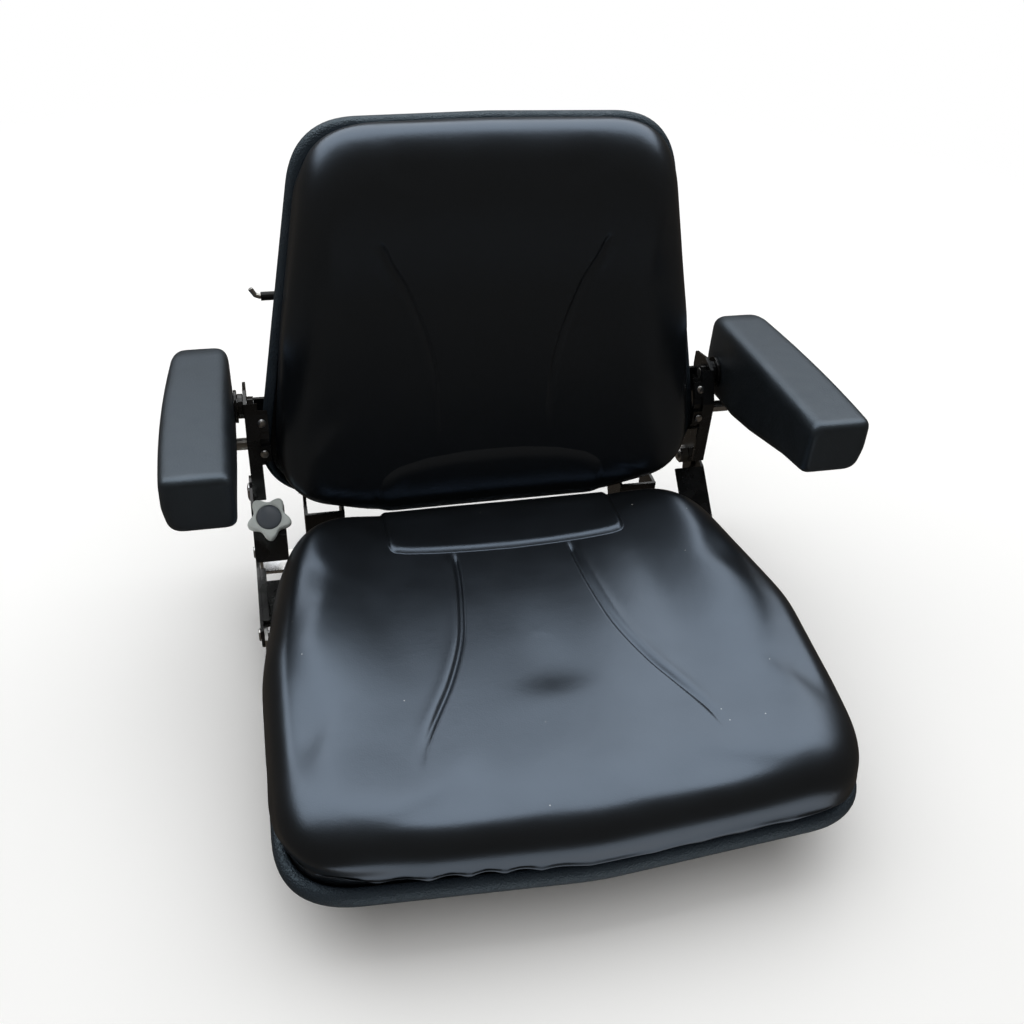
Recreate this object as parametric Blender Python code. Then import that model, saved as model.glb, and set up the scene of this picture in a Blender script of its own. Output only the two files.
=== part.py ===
"""Forklift seat with moulded cushions, folding armrests, a star knob for the rake and slide rails.

Metres, +Z up, the driver faces -Y. The origin is under the middle of the seat, on the floor that
the rails stand on. Sizes below are given from the datum: x from the middle plane, y back from the
front line of the edge trim, z up from the underside of that trim.
"""

import math

import bmesh
import bpy
from mathutils import Matrix, Vector

# Datum, on the floor under the middle of the whole seat
DATUM_BACK = 0.24711
DATUM_HEIGHT = 0.0540

# Fits
CLEAR = 0.0003
RUNNING = 0.0003

# Seat outline, at the outer line of the edge trim
SEAT_FRONT_HALF = 0.2429
SEAT_REAR_HALF = 0.2102
SEAT_DEPTH = 0.4022
SEAT_BOW = 0.0152
SEAT_FRONT_RADIUS = 0.0670
SEAT_REAR_RADIUS = 0.1050
SEAT_SIDE_KNEE = 0.50
SEAT_POINTS = 48
CORNER_PULL = 0.0300

# Edge trim and pressed pans
TRIM_WIDTH = 0.0100
TRIM_HEIGHT = 0.0168
TRIM_SLOT = 0.0026
FLANGE_LEVEL = 0.0100
SHEET = 0.0020
PAN_DROP = 0.0140
PAN_INSET = 0.0145

# Seat cushion
CUSHION_HEIGHT = 0.0600
CUSHION_BELLY = 0.0320
SIDE_BOLSTER = 0.0075
REAR_BOLSTER = 0.0150
FRONT_ROLL = 0.0020
CUSHION_SOFTNESS = 0.0260
CREASE_RADIUS = 0.0060
CREASE_DEPTH = 0.0028
DIMPLE_DEPTH = 0.0040
DIMPLE_RADIUS = 0.0240
DIMPLE_BACK = 0.1380
PLATFORM_HALF = 0.1170
PLATFORM_FRONT = 0.3110
PLATFORM_RISE = 0.0040

# Backrest, in its own plane: u across, v up the rim plane, w forward of it
BACK_FOOT_Y = 0.4403
BACK_FOOT_Z = 0.0231
BACK_RECLINE = math.radians(8.13)
BACK_TOP_HALF = 0.1656
BACK_MIDDLE_HALF = 0.1995
BACK_MIDDLE_V = 0.2040
BACK_BOTTOM_HALF = 0.2278
BACK_BOTTOM_V = 0.0438
BACK_FLAT_HALF = 0.1150
BACK_FLAT_V = 0.0120
BACK_HEIGHT = 0.3878
BACK_TOP_RADIUS = 0.0657
BACK_BOTTOM_RADIUS = 0.1070
BACK_POINTS = 48
BACK_CUSHION_HALF = BACK_BOTTOM_HALF - 0.0128
BACK_THICKNESS = 0.0440
BACK_BOLSTER = 0.0080
BACK_TOP_ROLL = 0.0060
BACK_TRIM_OUT = 0.0056
BACK_TRIM_HALF = 0.0075
BACK_PAN_DEPTH = 0.0200
LUMBAR_HALF = 0.1160
LUMBAR_TOP = 0.0850
LUMBAR_FOOT = 0.0265
LUMBAR_RISE = 0.0040

# Side plates, placed from the shell outward: the arm that tilts, then the bracket on the frame
PLATE = 0.0030
ARM_BESIDE_SHELL = 0.0091
ARM_OUTER = BACK_BOTTOM_HALF + ARM_BESIDE_SHELL
ARM_LIP = 0.0124
ARM_TAB = 0.0229
BRACKET_OUTER = ARM_OUTER + PLATE + CLEAR * 2
BRACKET_LUG = 0.0345
BRACKET_LUG_SPAN = (0.3200, 0.3830)
BRACKET_LIP = 0.0090
BRACKET_LIP_SPAN = (0.3040, 0.3780)
ARM_FRONT_Y = 0.4250
FOOT_FRONT = 0.2900
FOOT_TOP = 0.0120
FOOT_BOTTOM = -0.0130

# Armrests
PAD_STANDOFF = 0.0090
PAD_WIDTH = 0.0600
PAD_INNER = ARM_OUTER + PAD_STANDOFF
PAD_OUTER = PAD_INNER + PAD_WIDTH
PAD_FRONT = 0.2466
PAD_REAR = 0.4910
PAD_TOP_REAR = 0.2040
PAD_TOP_FRONT = 0.2240
PAD_TAPER = 0.0085
PAD_UNDERSIDE = ((PAD_FRONT, 0.1735), (0.2530, 0.1695), (0.2920, 0.1605), (0.3650, 0.1375),
                 (0.4060, 0.1275), (0.4390, 0.1245), (0.4560, 0.1222), (0.4670, 0.1246),
                 (0.4770, 0.1314), (0.4830, 0.1398), (0.4880, 0.1480), (PAD_REAR, 0.1600))
PAD_ENDS = ((PAD_FRONT, 0.0060), (0.2480, 0.0030), (0.2511, 0.0008), (0.2560, 0.0),
            (0.2920, 0.0), (0.3650, 0.0), (0.4060, 0.0), (0.4390, 0.0), (0.4560, 0.0),
            (0.4670, 0.0003), (0.4770, 0.0012), (0.4830, 0.0030), (0.4880, 0.0062),
            (PAD_REAR, 0.0110))
PIVOT_Y = 0.4560
PIVOT_Z = 0.1520
PIVOT_RADIUS = 0.0077
PIVOT_DEPTH = 0.0300
STOP_Y = 0.4430
STOP_Z = 0.1170
STOP_RADIUS = 0.0060
STOP_LENGTH = 0.0240

# Rake hinge, star knob and its spindle
HINGE_Y = 0.4640
HINGE_Z = 0.0420
HINGE_PIN_RADIUS = 0.0050
HINGE_BOSS = 0.0170
POST_BOSS = 0.0115
BLADE_RISE = math.radians(39.3)
BLADE_FOOT_Y = 0.3850
BLADE_FOOT_Z = 0.0140
BLADE_LENGTH = 0.0560
BLADE_INNER = BRACKET_OUTER - 0.0325
KNOB_RADIUS = 0.0220
KNOB_WAIST = 0.0155
KNOB_LOBES = 5
KNOB_THICKNESS = 0.0135
KNOB_STANDOFF = 0.0160
KNOB_CAP_RADIUS = 0.0118
KNOB_CAP_HEIGHT = 0.0045
SPINDLE_X = -(ARM_OUTER - 0.0134)
SPINDLE_UP_BLADE = 0.0385
SPINDLE_RADIUS = 0.0040
SPINDLE_TAIL = 0.0360
SPINDLE_COLLAR = 0.0070
RAKE_NUT_RADIUS = 0.0075
RAKE_NUT_LENGTH = 0.0160
RAKE_NUT_BORE = 0.0051

# Frame under the pan and behind the backrest
STRAP_THICKNESS = 0.0040
STRAP_HEIGHT = 0.0280
STRAP_LEVEL = 0.0660
STRAP_BOLT_X = ARM_OUTER - 0.0129
SADDLE_LEVEL = 0.1120
EAR_INNER = ARM_OUTER - 0.0214
EAR_SHEET = 0.0025
RIVET_X = ARM_OUTER - 0.0154
SHAFT_RADIUS = 0.0065
POST_INNER = 0.1480
POST_OUTER = 0.1880
POST_FRONT = 0.4280
POST_TOP = 0.0330
BAR_THICKNESS = 0.0040
REAR_BAR = (0.4020, 0.4340)
FRONT_BAR = (0.1600, 0.1920)
UPRIGHT_TOP = 0.0055
ANGLE_SPAN = (0.2840, 0.3060)
ANGLE_REACH = 0.0670
FRONT_BAR_HALF = 0.1900

# Slide rails
RAIL_CENTRE = 0.1250
RAIL_FRONT = 0.1000
RAIL_LENGTH = 0.3400
RAIL_HALF = 0.0190
RAIL_SHEET = 0.0025
RAIL_SIDE = 0.0170
RAIL_MOUTH = 0.0090
RUNNER_HALF = 0.0155
RUNNER_WEB = 0.0080
NOTCH_PITCH = 0.0150
NOTCH_WIDTH = 0.0060
NOTCH_COUNT = 11
LATCH_WIRE = 0.0045
LATCH_ARM_X = 0.1030
LATCH_PIVOT_Y = 0.2350
LATCH_FRONT = 0.0530
LATCH_DROP = 0.0120


def clear_scene():
    for item in list(bpy.data.objects):
        bpy.data.objects.remove(item, do_unlink=True)


def finish(name, colour, roughness, metallic=0.0):
    """A painted, moulded or plated surface."""
    material = bpy.data.materials.new(name)
    material.use_nodes = True
    shader = material.node_tree.nodes["Principled BSDF"]
    shader.inputs["Base Color"].default_value = (*colour, 1.0)
    shader.inputs["Roughness"].default_value = roughness
    shader.inputs["Metallic"].default_value = metallic
    return material


def make_finishes():
    return {
        "vinyl": finish("black_vinyl", (0.022, 0.023, 0.026), 0.38),
        "trim": finish("trim_rubber", (0.014, 0.017, 0.021), 0.55),
        "paint": finish("black_paint", (0.012, 0.012, 0.013), 0.30, 0.2),
        "foam": finish("grey_foam_skin", (0.036, 0.041, 0.048), 0.62),
        "zinc": finish("zinc_plate", (0.62, 0.63, 0.64), 0.32, 1.0),
        "knob": finish("pale_knob", (0.70, 0.71, 0.72), 0.45),
        "cap": finish("grey_cap", (0.12, 0.13, 0.15), 0.50),
        "sleeve": finish("black_sleeve", (0.010, 0.010, 0.011), 0.60),
    }


def datum(x, y, z):
    return Vector((x, y - DATUM_BACK, z + DATUM_HEIGHT))


def pivot(name, point, parent=None):
    """An empty on a joint's axis, or the anchor of a group of fixed pieces."""
    empty = bpy.data.objects.new(name, None)
    empty.empty_display_size = 0.03
    empty["at"] = point
    empty.location = point - (Vector(parent["at"]) if parent else Vector())
    empty.parent = parent
    bpy.context.collection.objects.link(empty)
    return empty


def add(name, mesh, material, anchor, sharp=35.0):
    """An object whose mesh is given from the datum and whose origin is its anchor."""
    centre = Vector(anchor["at"])
    mesh.transform(Matrix.Translation(datum(0, 0, 0) - centre))
    bm = bmesh.new()
    bm.from_mesh(mesh)
    bmesh.ops.remove_doubles(bm, verts=bm.verts, dist=1e-6)
    bmesh.ops.recalc_face_normals(bm, faces=bm.faces)
    bm.to_mesh(mesh)
    bm.free()
    mesh.name = name
    mesh.materials.clear()
    mesh.materials.append(material)
    mesh.shade_smooth()
    mesh.set_sharp_from_angle(angle=math.radians(sharp))
    item = bpy.data.objects.new(name, mesh)
    item.parent = anchor
    bpy.context.collection.objects.link(item)
    return item


def new_mesh(bm):
    mesh = bpy.data.meshes.new("shape")
    bm.to_mesh(mesh)
    bm.free()
    return mesh


def loft(rings):
    """A closed body through rings of equal count, with flat ends."""
    bm = bmesh.new()
    rows = [[bm.verts.new(point) for point in ring] for ring in rings]
    count = len(rows[0])
    for low, high in zip(rows, rows[1:]):
        for i in range(count):
            j = (i + 1) % count
            bm.faces.new((low[i], low[j], high[j], high[i]))
    bm.faces.new(list(reversed(rows[0])))
    bm.faces.new(rows[-1])
    return new_mesh(bm)


def ring_loft(rings):
    """A closed loop body: the rings are the stations of a section swept round a closed path."""
    bm = bmesh.new()
    rows = [[bm.verts.new(point) for point in ring] for ring in rings]
    count = len(rows[0])
    for k, low in enumerate(rows):
        high = rows[(k + 1) % len(rows)]
        for i in range(count):
            j = (i + 1) % count
            bm.faces.new((low[i], low[j], high[j], high[i]))
    return new_mesh(bm)


def prism(outline, start, end, place):
    """An outline (a, b) pushed from start to end; place(a, b, t) gives the point."""
    return loft([[place(a, b, t) for a, b in outline] for t in (start, end)])


def across(y, z, x):
    """A side view outline pushed along X."""
    return Vector((x, y, z))


def along(x, z, y):
    """A front view outline pushed along Y."""
    return Vector((x, y, z))


def upward(x, y, z):
    """A plan outline pushed along Z."""
    return Vector((x, y, z))


def box(low, high):
    outline = [(low[0], low[1]), (high[0], low[1]), (high[0], high[1]), (low[0], high[1])]
    return prism(outline, low[2], high[2], upward)


def turned(profile, centre, axis, sides=24):
    """A turned piece: profile points (distance along the axis, radius), ends closed."""
    axis = Vector(axis).normalized()
    side = axis.orthogonal().normalized()
    other = axis.cross(side)
    rings = []
    for reach, radius in profile:
        middle = Vector(centre) + axis * reach
        rings.append([
            middle + (side * math.cos(a) + other * math.sin(a)) * radius
            for a in (2 * math.pi * k / sides for k in range(sides))
        ])
    return loft(rings)


def rod(centre, axis, start, end, radius, sides=20):
    return turned([(start, radius), (end, radius)], centre, axis, sides)


def washer(centre, axis, start, end, inner, outer, sides=18):
    """A plain ring."""
    return cut(rod(centre, axis, start, end, outer, sides),
               rod(centre, axis, start - 0.001, end + 0.001, inner, sides))


def bent_wire(points, radius, sides=8):
    """A wire along points, mitred at its bends, with flat ends."""
    points = [Vector(p) for p in points]
    rings = []
    side = (points[1] - points[0]).orthogonal().normalized()
    for k, point in enumerate(points):
        back = (point - points[k - 1]).normalized() if k else None
        ahead = (points[k + 1] - point).normalized() if k + 1 < len(points) else None
        middle = ((back or ahead) + (ahead or back)).normalized()
        side = (side - middle * side.dot(middle)).normalized()
        other = middle.cross(side)
        rings.append([
            point + (side * math.cos(a) + other * math.sin(a)) * radius
            for a in (2 * math.pi * i / sides for i in range(sides))
        ])
    return loft(rings)


def combine(first, second, operation):
    holder = bpy.data.objects.new("holder", first)
    tool = bpy.data.objects.new("tool", second)
    for item in (holder, tool):
        bpy.context.collection.objects.link(item)
    modifier = holder.modifiers.new("combine", "BOOLEAN")
    modifier.operation = operation
    modifier.solver = "EXACT"
    modifier.object = tool
    graph = bpy.context.evaluated_depsgraph_get()
    result = bpy.data.meshes.new_from_object(holder.evaluated_get(graph))
    for item in (holder, tool):
        bpy.data.objects.remove(item, do_unlink=True)
    return result


def face_out(mesh):
    bm = bmesh.new()
    bm.from_mesh(mesh)
    bmesh.ops.recalc_face_normals(bm, faces=bm.faces)
    bm.to_mesh(mesh)
    bm.free()
    return mesh


def cut(body, *tools):
    body = face_out(body)
    for tool in tools:
        body = combine(body, face_out(tool), "DIFFERENCE")
    return body


def join(body, *others):
    body = face_out(body)
    for other in others:
        body = combine(body, face_out(other), "UNION")
    return body


def soft_corners(points, radii, steps=12):
    """A polygon whose corners are eased with a curve that leaves each side at its radius."""
    out = []
    for k, corner in enumerate(points):
        corner = Vector(corner)
        before = Vector(points[k - 1]) - corner
        after = Vector(points[(k + 1) % len(points)]) - corner
        radius = radii[k]
        angle = before.angle(after)
        reach = min(radius / math.tan(angle / 2), 0.45 * before.length, 0.45 * after.length)
        start = corner + before.normalized() * reach
        end = corner + after.normalized() * reach
        for i in range(steps):
            t = i / (steps - 1)
            out.append(start * (1 - t) ** 2 + corner * 2 * t * (1 - t) + end * t ** 2)
    return out


def even_points(outline, count):
    """The outline again as count points, closer together where it turns."""
    outline = [p for k, p in enumerate(outline) if (p - outline[k - 1]).length > 1e-6]
    total = len(outline)
    sides = []
    for k, p in enumerate(outline):
        middle = outline[(k + 1) % total]
        ahead = middle - p
        beyond = outline[(k + 2) % total] - middle
        sides.append(ahead.length + CORNER_PULL * ahead.angle(beyond))
    step = sum(sides) / count
    out = []
    walked = 0.0
    k = 0
    for i in range(count):
        target = i * step
        while walked + sides[k] < target:
            walked += sides[k]
            k += 1
        t = (target - walked) / sides[k]
        out.append(outline[k].lerp(outline[(k + 1) % total], t))
    return out


def rounded_plate(points, radii, steps=5):
    return [(p.x, p.y) for p in soft_corners(points, radii, steps)]


def seat_outline(grow):
    """The seat seen from above, grown outward by grow."""
    front = SEAT_FRONT_HALF + grow
    rear = SEAT_REAR_HALF + grow
    knee = SEAT_SIDE_KNEE * SEAT_DEPTH
    corners = [
        (-front, -grow), (0.0, -SEAT_BOW - grow), (front, -grow), (front, knee),
        (rear, SEAT_DEPTH + grow), (-rear, SEAT_DEPTH + grow), (-front, knee),
    ]
    front_radius = SEAT_FRONT_RADIUS + grow
    rear_radius = SEAT_REAR_RADIUS + grow
    radii = [front_radius, 0.300, front_radius, 0.120, rear_radius, rear_radius, 0.120]
    return even_points(soft_corners(corners, radii), SEAT_POINTS)


def back_outline(grow, bottom_half=BACK_BOTTOM_HALF):
    """The backrest in its own plane, grown outward by grow."""
    corners = [
        (-BACK_TOP_HALF - grow, BACK_HEIGHT + grow),
        (0.0, BACK_HEIGHT + grow + 0.003),
        (BACK_TOP_HALF + grow, BACK_HEIGHT + grow),
        (BACK_MIDDLE_HALF + grow, BACK_MIDDLE_V),
        (bottom_half + grow, BACK_BOTTOM_V),
        (BACK_FLAT_HALF, BACK_FLAT_V - grow),
        (-BACK_FLAT_HALF, BACK_FLAT_V - grow),
        (-bottom_half - grow, BACK_BOTTOM_V),
        (-BACK_MIDDLE_HALF - grow, BACK_MIDDLE_V),
    ]
    radii = [BACK_TOP_RADIUS, 0.300, BACK_TOP_RADIUS, 0.150,
             BACK_BOTTOM_RADIUS, 0.150, 0.150, BACK_BOTTOM_RADIUS, 0.150]
    return even_points(soft_corners(corners, radii), BACK_POINTS)


def back_point(u, v, w):
    """A point of the backrest's plane, from the datum."""
    sine, cosine = math.sin(BACK_RECLINE), math.cos(BACK_RECLINE)
    return Vector((u, BACK_FOOT_Y + v * sine - w * cosine, BACK_FOOT_Z + v * cosine + w * sine))


def smooth(value, low, high):
    t = min(max((value - low) / (high - low), 0.0), 1.0)
    return t * t * (3 - 2 * t)


def seat_rings(section):
    """Rings of the seat outline for a section of (growth, height) pairs."""
    return [[Vector((p.x, p.y, height)) for p in seat_outline(grow)] for grow, height in section]


def back_rings(section, bottom_half=BACK_BOTTOM_HALF):
    """Rings of the backrest outline for a section of (growth, forward) pairs."""
    return [[back_point(p.x, p.y, forward) for p in back_outline(grow, bottom_half)]
            for grow, forward in section]


def seat_surface(x, y):
    """Height of the sitting surface."""
    wing = SIDE_BOLSTER + (REAR_BOLSTER - SIDE_BOLSTER) * smooth(y, 0.080, 0.220)
    across_bolster = wing * smooth(abs(x), 0.110, 0.195)
    roll = FRONT_ROLL * smooth(0.110 - y, 0.0, 0.080)
    hollow = DIMPLE_DEPTH * math.exp(-(x ** 2 + (y - DIMPLE_BACK) ** 2) / DIMPLE_RADIUS ** 2)
    return CUSHION_HEIGHT + across_bolster + roll - hollow


def back_surface(u, v):
    """How far the leaning surface stands forward of the rim plane."""
    wings = BACK_BOLSTER * smooth(abs(u), 0.080, 0.165)
    roll = BACK_TOP_ROLL * smooth(v, 0.240, 0.340)
    return BACK_THICKNESS + wings + roll


def flatten_rings(rim, middle, shares, surface, place):
    """Rings that close a soft face from its rim in to its middle."""
    rings = []
    for share in shares:
        ring = []
        for p in rim:
            a = middle[0] + (p[0] - middle[0]) * share
            b = middle[1] + (p[1] - middle[1]) * share
            ring.append(place(a, b, surface(a, b)))
        rings.append(ring)
    return rings


def lengthwise(points, lift):
    """A smooth curve through hand placed points, as short straight steps."""
    points = [Vector(p) for p in points]
    out = []
    for k in range(len(points) - 1):
        before = points[max(k - 1, 0)]
        a, b = points[k], points[k + 1]
        after = points[min(k + 2, len(points) - 1)]
        for i in range(2):
            t = i / 2
            spread = (
                a * 2 + (b - before) * t + (before * 2 - a * 5 + b * 4 - after) * t ** 2
                + (a * 3 - before - b * 3 + after) * t ** 3
            )
            out.append(spread / 2)
    out.append(points[-1])
    return [(p.x, p.y, lift(p.x, p.y)) for p in out]


SEAT_CREASE = ((0.1250, 0.0600), (0.1100, 0.1010), (0.0870, 0.1490), (0.0700, 0.2000),
               (0.0610, 0.2400), (0.0570, 0.2720), (0.0560, 0.3040))
BACK_CREASE = ((0.1060, 0.3000), (0.0940, 0.2760), (0.0840, 0.2560), (0.0740, 0.2340),
               (0.0640, 0.2050), (0.0570, 0.1730), (0.0545, 0.1420), (0.0540, 0.0940))


def seat_cushion_mesh():
    """Moulded foam in its cover: a plug inside the pan, a full belly over the trim, a shaped top."""
    inside = -PAN_INSET - SHEET - CLEAR * 4
    top_of_trim = TRIM_HEIGHT + CLEAR + 0.0002
    lower = [
        (inside - 0.0050, SHEET - PAN_DROP + CLEAR),
        (inside - 0.0022, -0.0050),
        (inside - 0.0005, top_of_trim),
        (-0.0065, top_of_trim),
        (-0.0033, top_of_trim + 0.0045),
        (-0.0022, CUSHION_BELLY),
    ]
    rings = seat_rings(lower)
    belly_grow, steps = -0.0022, 5
    for k in range(1, steps + 1):
        turn = math.pi / 2 * k / steps
        grow = belly_grow - CUSHION_SOFTNESS * (1 - math.cos(turn))
        ring = []
        for p in seat_outline(grow):
            high = seat_surface(p.x, p.y)
            rise = CUSHION_BELLY + (high - CUSHION_BELLY) * math.sin(turn) ** 0.9
            ring.append(Vector((p.x, p.y, rise)))
        rings.append(ring)
    shares = (0.93, 0.84, 0.74, 0.62, 0.49, 0.35, 0.21, 0.09)
    middle = (0.0, SEAT_DEPTH / 2)
    rings += flatten_rings(rings[-1], middle, shares, seat_surface, upward)
    return loft(rings)


def back_cushion_mesh():
    """The backrest's moulded cushion, with its plug in the pan."""
    lower = [
        (-0.0520, SHEET - BACK_PAN_DEPTH + 0.0010),
        (-0.0290, SHEET / 2 + CLEAR),
        (-0.0130, SHEET / 2 + CLEAR),
        (-0.0072, SHEET / 2 + CLEAR),
        (-0.0070, BACK_TRIM_HALF + CLEAR),
        (-0.0022, BACK_TRIM_HALF + CLEAR),
        (-0.0006, BACK_TRIM_HALF + 0.0045),
        (0.0002, 0.0210),
    ]
    rings = back_rings(lower[:5]) + back_rings(lower[5:], BACK_CUSHION_HALF)
    steps = 5
    for k in range(1, steps + 1):
        turn = math.pi / 2 * k / steps
        ring = []
        for p in back_outline(0.0002 - 0.0280 * (1 - math.cos(turn)), BACK_CUSHION_HALF):
            forward = 0.0210 + (back_surface(p.x, p.y) - 0.0210) * math.sin(turn) ** 0.9
            ring.append(back_point(p.x, p.y, forward))
        rings.append(ring)
    rim = back_outline(0.0002 - 0.0280, BACK_CUSHION_HALF)
    shares = (0.93, 0.84, 0.74, 0.62, 0.49, 0.35, 0.21, 0.09)
    rings += flatten_rings(rim, (0.0, 0.1900), shares, back_surface, back_point)
    return loft(rings)


def crease_tools(points, surface, place):
    """Grooves pressed along a curve and its mirror, CREASE_DEPTH into a soft surface."""
    tools = []
    raise_by = CREASE_RADIUS - CREASE_DEPTH
    for side in (-1, 1):
        route = lengthwise([(side * a, b, 0.0) for a, b in points], surface)
        count = len(route) - 1
        lifted = []
        for k, (a, b, height) in enumerate(route):
            fade = CREASE_DEPTH * 0.7 * (1 - math.sin(math.pi * (0.12 + 0.76 * k / count)))
            lifted.append(place(a, b, height + raise_by + fade))
        tools.append(bent_wire(lifted, CREASE_RADIUS, 8))
    return tools


def raised_panel(outline, surface, place, rise, sink=0.006):
    """A low moulded panel that follows the surface under it, with an eased edge."""
    middle_a = sum(a for a, b in outline) / len(outline)
    middle_b = sum(b for a, b in outline) / len(outline)
    rings = []
    for share, lift in ((1.0, -sink), (1.0, 0.0), (0.975, rise * 0.8), (0.94, rise),
                        (0.6, rise), (0.25, rise)):
        ring = []
        for a, b in outline:
            a = middle_a + (a - middle_a) * share
            b = middle_b + (b - middle_b) * share
            ring.append(place(a, b, surface(a, b) + lift))
        rings.append(ring)
    return loft(rings)


def platform_outline():
    """The raised panel at the rear of the seat cushion, bowed at its front."""
    rear = SEAT_DEPTH - 0.0330
    front = [(PLATFORM_HALF * t, PLATFORM_FRONT + 0.009 * t ** 4) for t in
             (-1.0, -0.75, -0.4, 0.0, 0.4, 0.75, 1.0)]
    rear_edge = [(PLATFORM_HALF * t, rear) for t in (1.0, 0.5, 0.0, -0.5, -1.0)]
    return front + rear_edge


def lumbar_outline():
    """The raised panel at the foot of the backrest, arched at its top."""
    top = [(LUMBAR_HALF * t, LUMBAR_TOP - 0.0180 * t ** 2) for t in
           (1.0, 0.75, 0.4, 0.0, -0.4, -0.75, -1.0)]
    foot = [(LUMBAR_HALF * t, LUMBAR_FOOT + 0.0060 * t ** 2) for t in (-1.0, -0.5, 0.0, 0.5, 1.0)]
    return top + foot


def soft_pieces(finishes, seat, back):
    cushion = join(seat_cushion_mesh(),
                   raised_panel(platform_outline(), seat_surface, upward, PLATFORM_RISE))
    cushion = cut(cushion, *crease_tools(SEAT_CREASE, seat_surface, upward))
    add("seat_cushion", cushion, finishes["vinyl"], seat, 50.0)
    cushion = join(back_cushion_mesh(),
                   raised_panel(lumbar_outline(), back_surface, back_point, LUMBAR_RISE))
    cushion = cut(cushion, *crease_tools(BACK_CREASE, back_surface, back_point))
    add("back_cushion", cushion, finishes["vinyl"], back, 50.0)


def seat_pan_mesh():
    """A pressed tray with an outward rim flange and four rounded slots in its floor."""
    wall = -PAN_INSET
    section = [
        (-0.0300, -PAN_DROP),
        (wall - 0.0045, -PAN_DROP),
        (wall - 0.0015, -PAN_DROP + 0.0040),
        (wall, FLANGE_LEVEL - SHEET / 2),
        (-0.0040, FLANGE_LEVEL - SHEET / 2),
        (-0.0040, FLANGE_LEVEL + SHEET / 2),
        (wall - SHEET, FLANGE_LEVEL + SHEET / 2),
        (wall - 0.0015 - SHEET, -PAN_DROP + 0.0050),
        (wall - 0.0055 - SHEET, SHEET - PAN_DROP),
        (-0.0300, SHEET - PAN_DROP),
    ]
    tray = loft(seat_rings(section))
    slots = []
    for x in (-0.075, 0.075):
        for y in (0.170, 0.290):
            outline = [(x + dx, y + dy) for dx, dy in
                       rounded_plate([(-0.030, -0.020), (0.030, -0.020), (0.030, 0.020),
                                      (-0.030, 0.020)], [0.018] * 4, 4)]
            slots.append(prism(outline, -PAN_DROP - 0.002, SHEET - PAN_DROP + 0.002, upward))
    return cut(tray, *slots)


def edge_trim_section(edge, inset, bottom, top, slot, slot_floor):
    """A U profile pushed over a flange: rounded outside, slotted inside."""
    half = (top - bottom) / 2
    middle = (top + bottom) / 2
    gap = TRIM_SLOT / 2
    return [
        (slot_floor, slot + gap), (inset, slot + gap), (inset, middle + half * 0.70),
        (inset + 0.0035, top), (edge - 0.0028, middle + half * 0.94),
        (edge, middle + half * 0.50), (edge, middle - half * 0.50),
        (edge - 0.0028, middle - half * 0.94), (inset + 0.0035, bottom),
        (inset, middle - half * 0.62), (inset, slot - gap), (slot_floor, slot - gap),
    ]


def swept_trim(outline_at, section, place):
    """The trim: each section point has its own outline, so the loop follows every corner."""
    columns = [(outline_at(grow), level) for grow, level in section]
    count = len(columns[0][0])
    return ring_loft([
        [place(points[i].x, points[i].y, level) for points, level in columns]
        for i in range(count)
    ])


def seat_trim_mesh():
    section = edge_trim_section(0.0, -TRIM_WIDTH, 0.0, TRIM_HEIGHT, FLANGE_LEVEL, -0.0037)
    return swept_trim(seat_outline, section, upward)


def back_pan_mesh():
    """The pressed shell behind the backrest: a flat flange round a dish."""
    deep = -BACK_PAN_DEPTH
    section = [
        (-0.0620, deep),
        (-0.0420, deep + 0.0006),
        (-0.0370, deep + 0.0028),
        (-0.0190, -0.0028),
        (-0.0145, -SHEET / 2),
        (0.0016, -SHEET / 2),
        (0.0016, SHEET / 2),
        (-0.0155, SHEET / 2),
        (-0.0205, -0.0012),
        (-0.0380, deep + 0.0050),
        (-0.0430, deep + 0.0006 + SHEET),
        (-0.0620, deep + SHEET),
    ]
    return loft(back_rings(section))


def back_trim_mesh():
    section = edge_trim_section(BACK_TRIM_OUT, -0.0045, -BACK_TRIM_HALF, BACK_TRIM_HALF, 0.0,
                                0.0019)
    return swept_trim(back_outline, section, back_point)


def shells(finishes, seat, back):
    add("seat_pan", seat_pan_mesh(), finishes["paint"], seat)
    add("seat_trim", seat_trim_mesh(), finishes["trim"], seat, 60.0)
    add("back_pan", back_pan_mesh(), finishes["paint"], back)
    add("back_trim", back_trim_mesh(), finishes["trim"], back, 60.0)


def circle(centre_a, centre_b, radius, start, end, steps):
    """Points of an arc, angles in degrees."""
    return [
        (centre_a + radius * math.cos(math.radians(start + (end - start) * k / steps)),
         centre_b + radius * math.sin(math.radians(start + (end - start) * k / steps)))
        for k in range(steps + 1)
    ]


def blade_point(up, out):
    """A point beside the inclined blade of the bracket: up along it, out in front of it."""
    sine, cosine = math.sin(BLADE_RISE), math.cos(BLADE_RISE)
    return (BLADE_FOOT_Y + up * cosine - out * sine, BLADE_FOOT_Z + up * sine + out * cosine)


def strip(route, thickness):
    """The side view outline of a bent sheet: route is its front face, thickness lies behind."""
    front = [Vector(p) for p in route]
    rear = []
    for k, p in enumerate(front):
        a = (p - front[k - 1]).normalized() if k else (front[1] - p).normalized()
        b = (front[k + 1] - p).normalized() if k + 1 < len(front) else a
        middle = (a + b).normalized()
        normal = Vector((middle.y, -middle.x))
        rear.append(p + normal * thickness / max(normal.dot(Vector((a.y, -a.x))), 0.3))
    return [(p.x, p.y) for p in front] + [(p.x, p.y) for p in reversed(rear)]


def lip_route():
    """Front face of the arm's lip: upright, then leaning back at its top."""
    return [(ARM_FRONT_Y, 0.0600), (ARM_FRONT_Y, 0.1320), (0.4415, 0.1630)]


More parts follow.
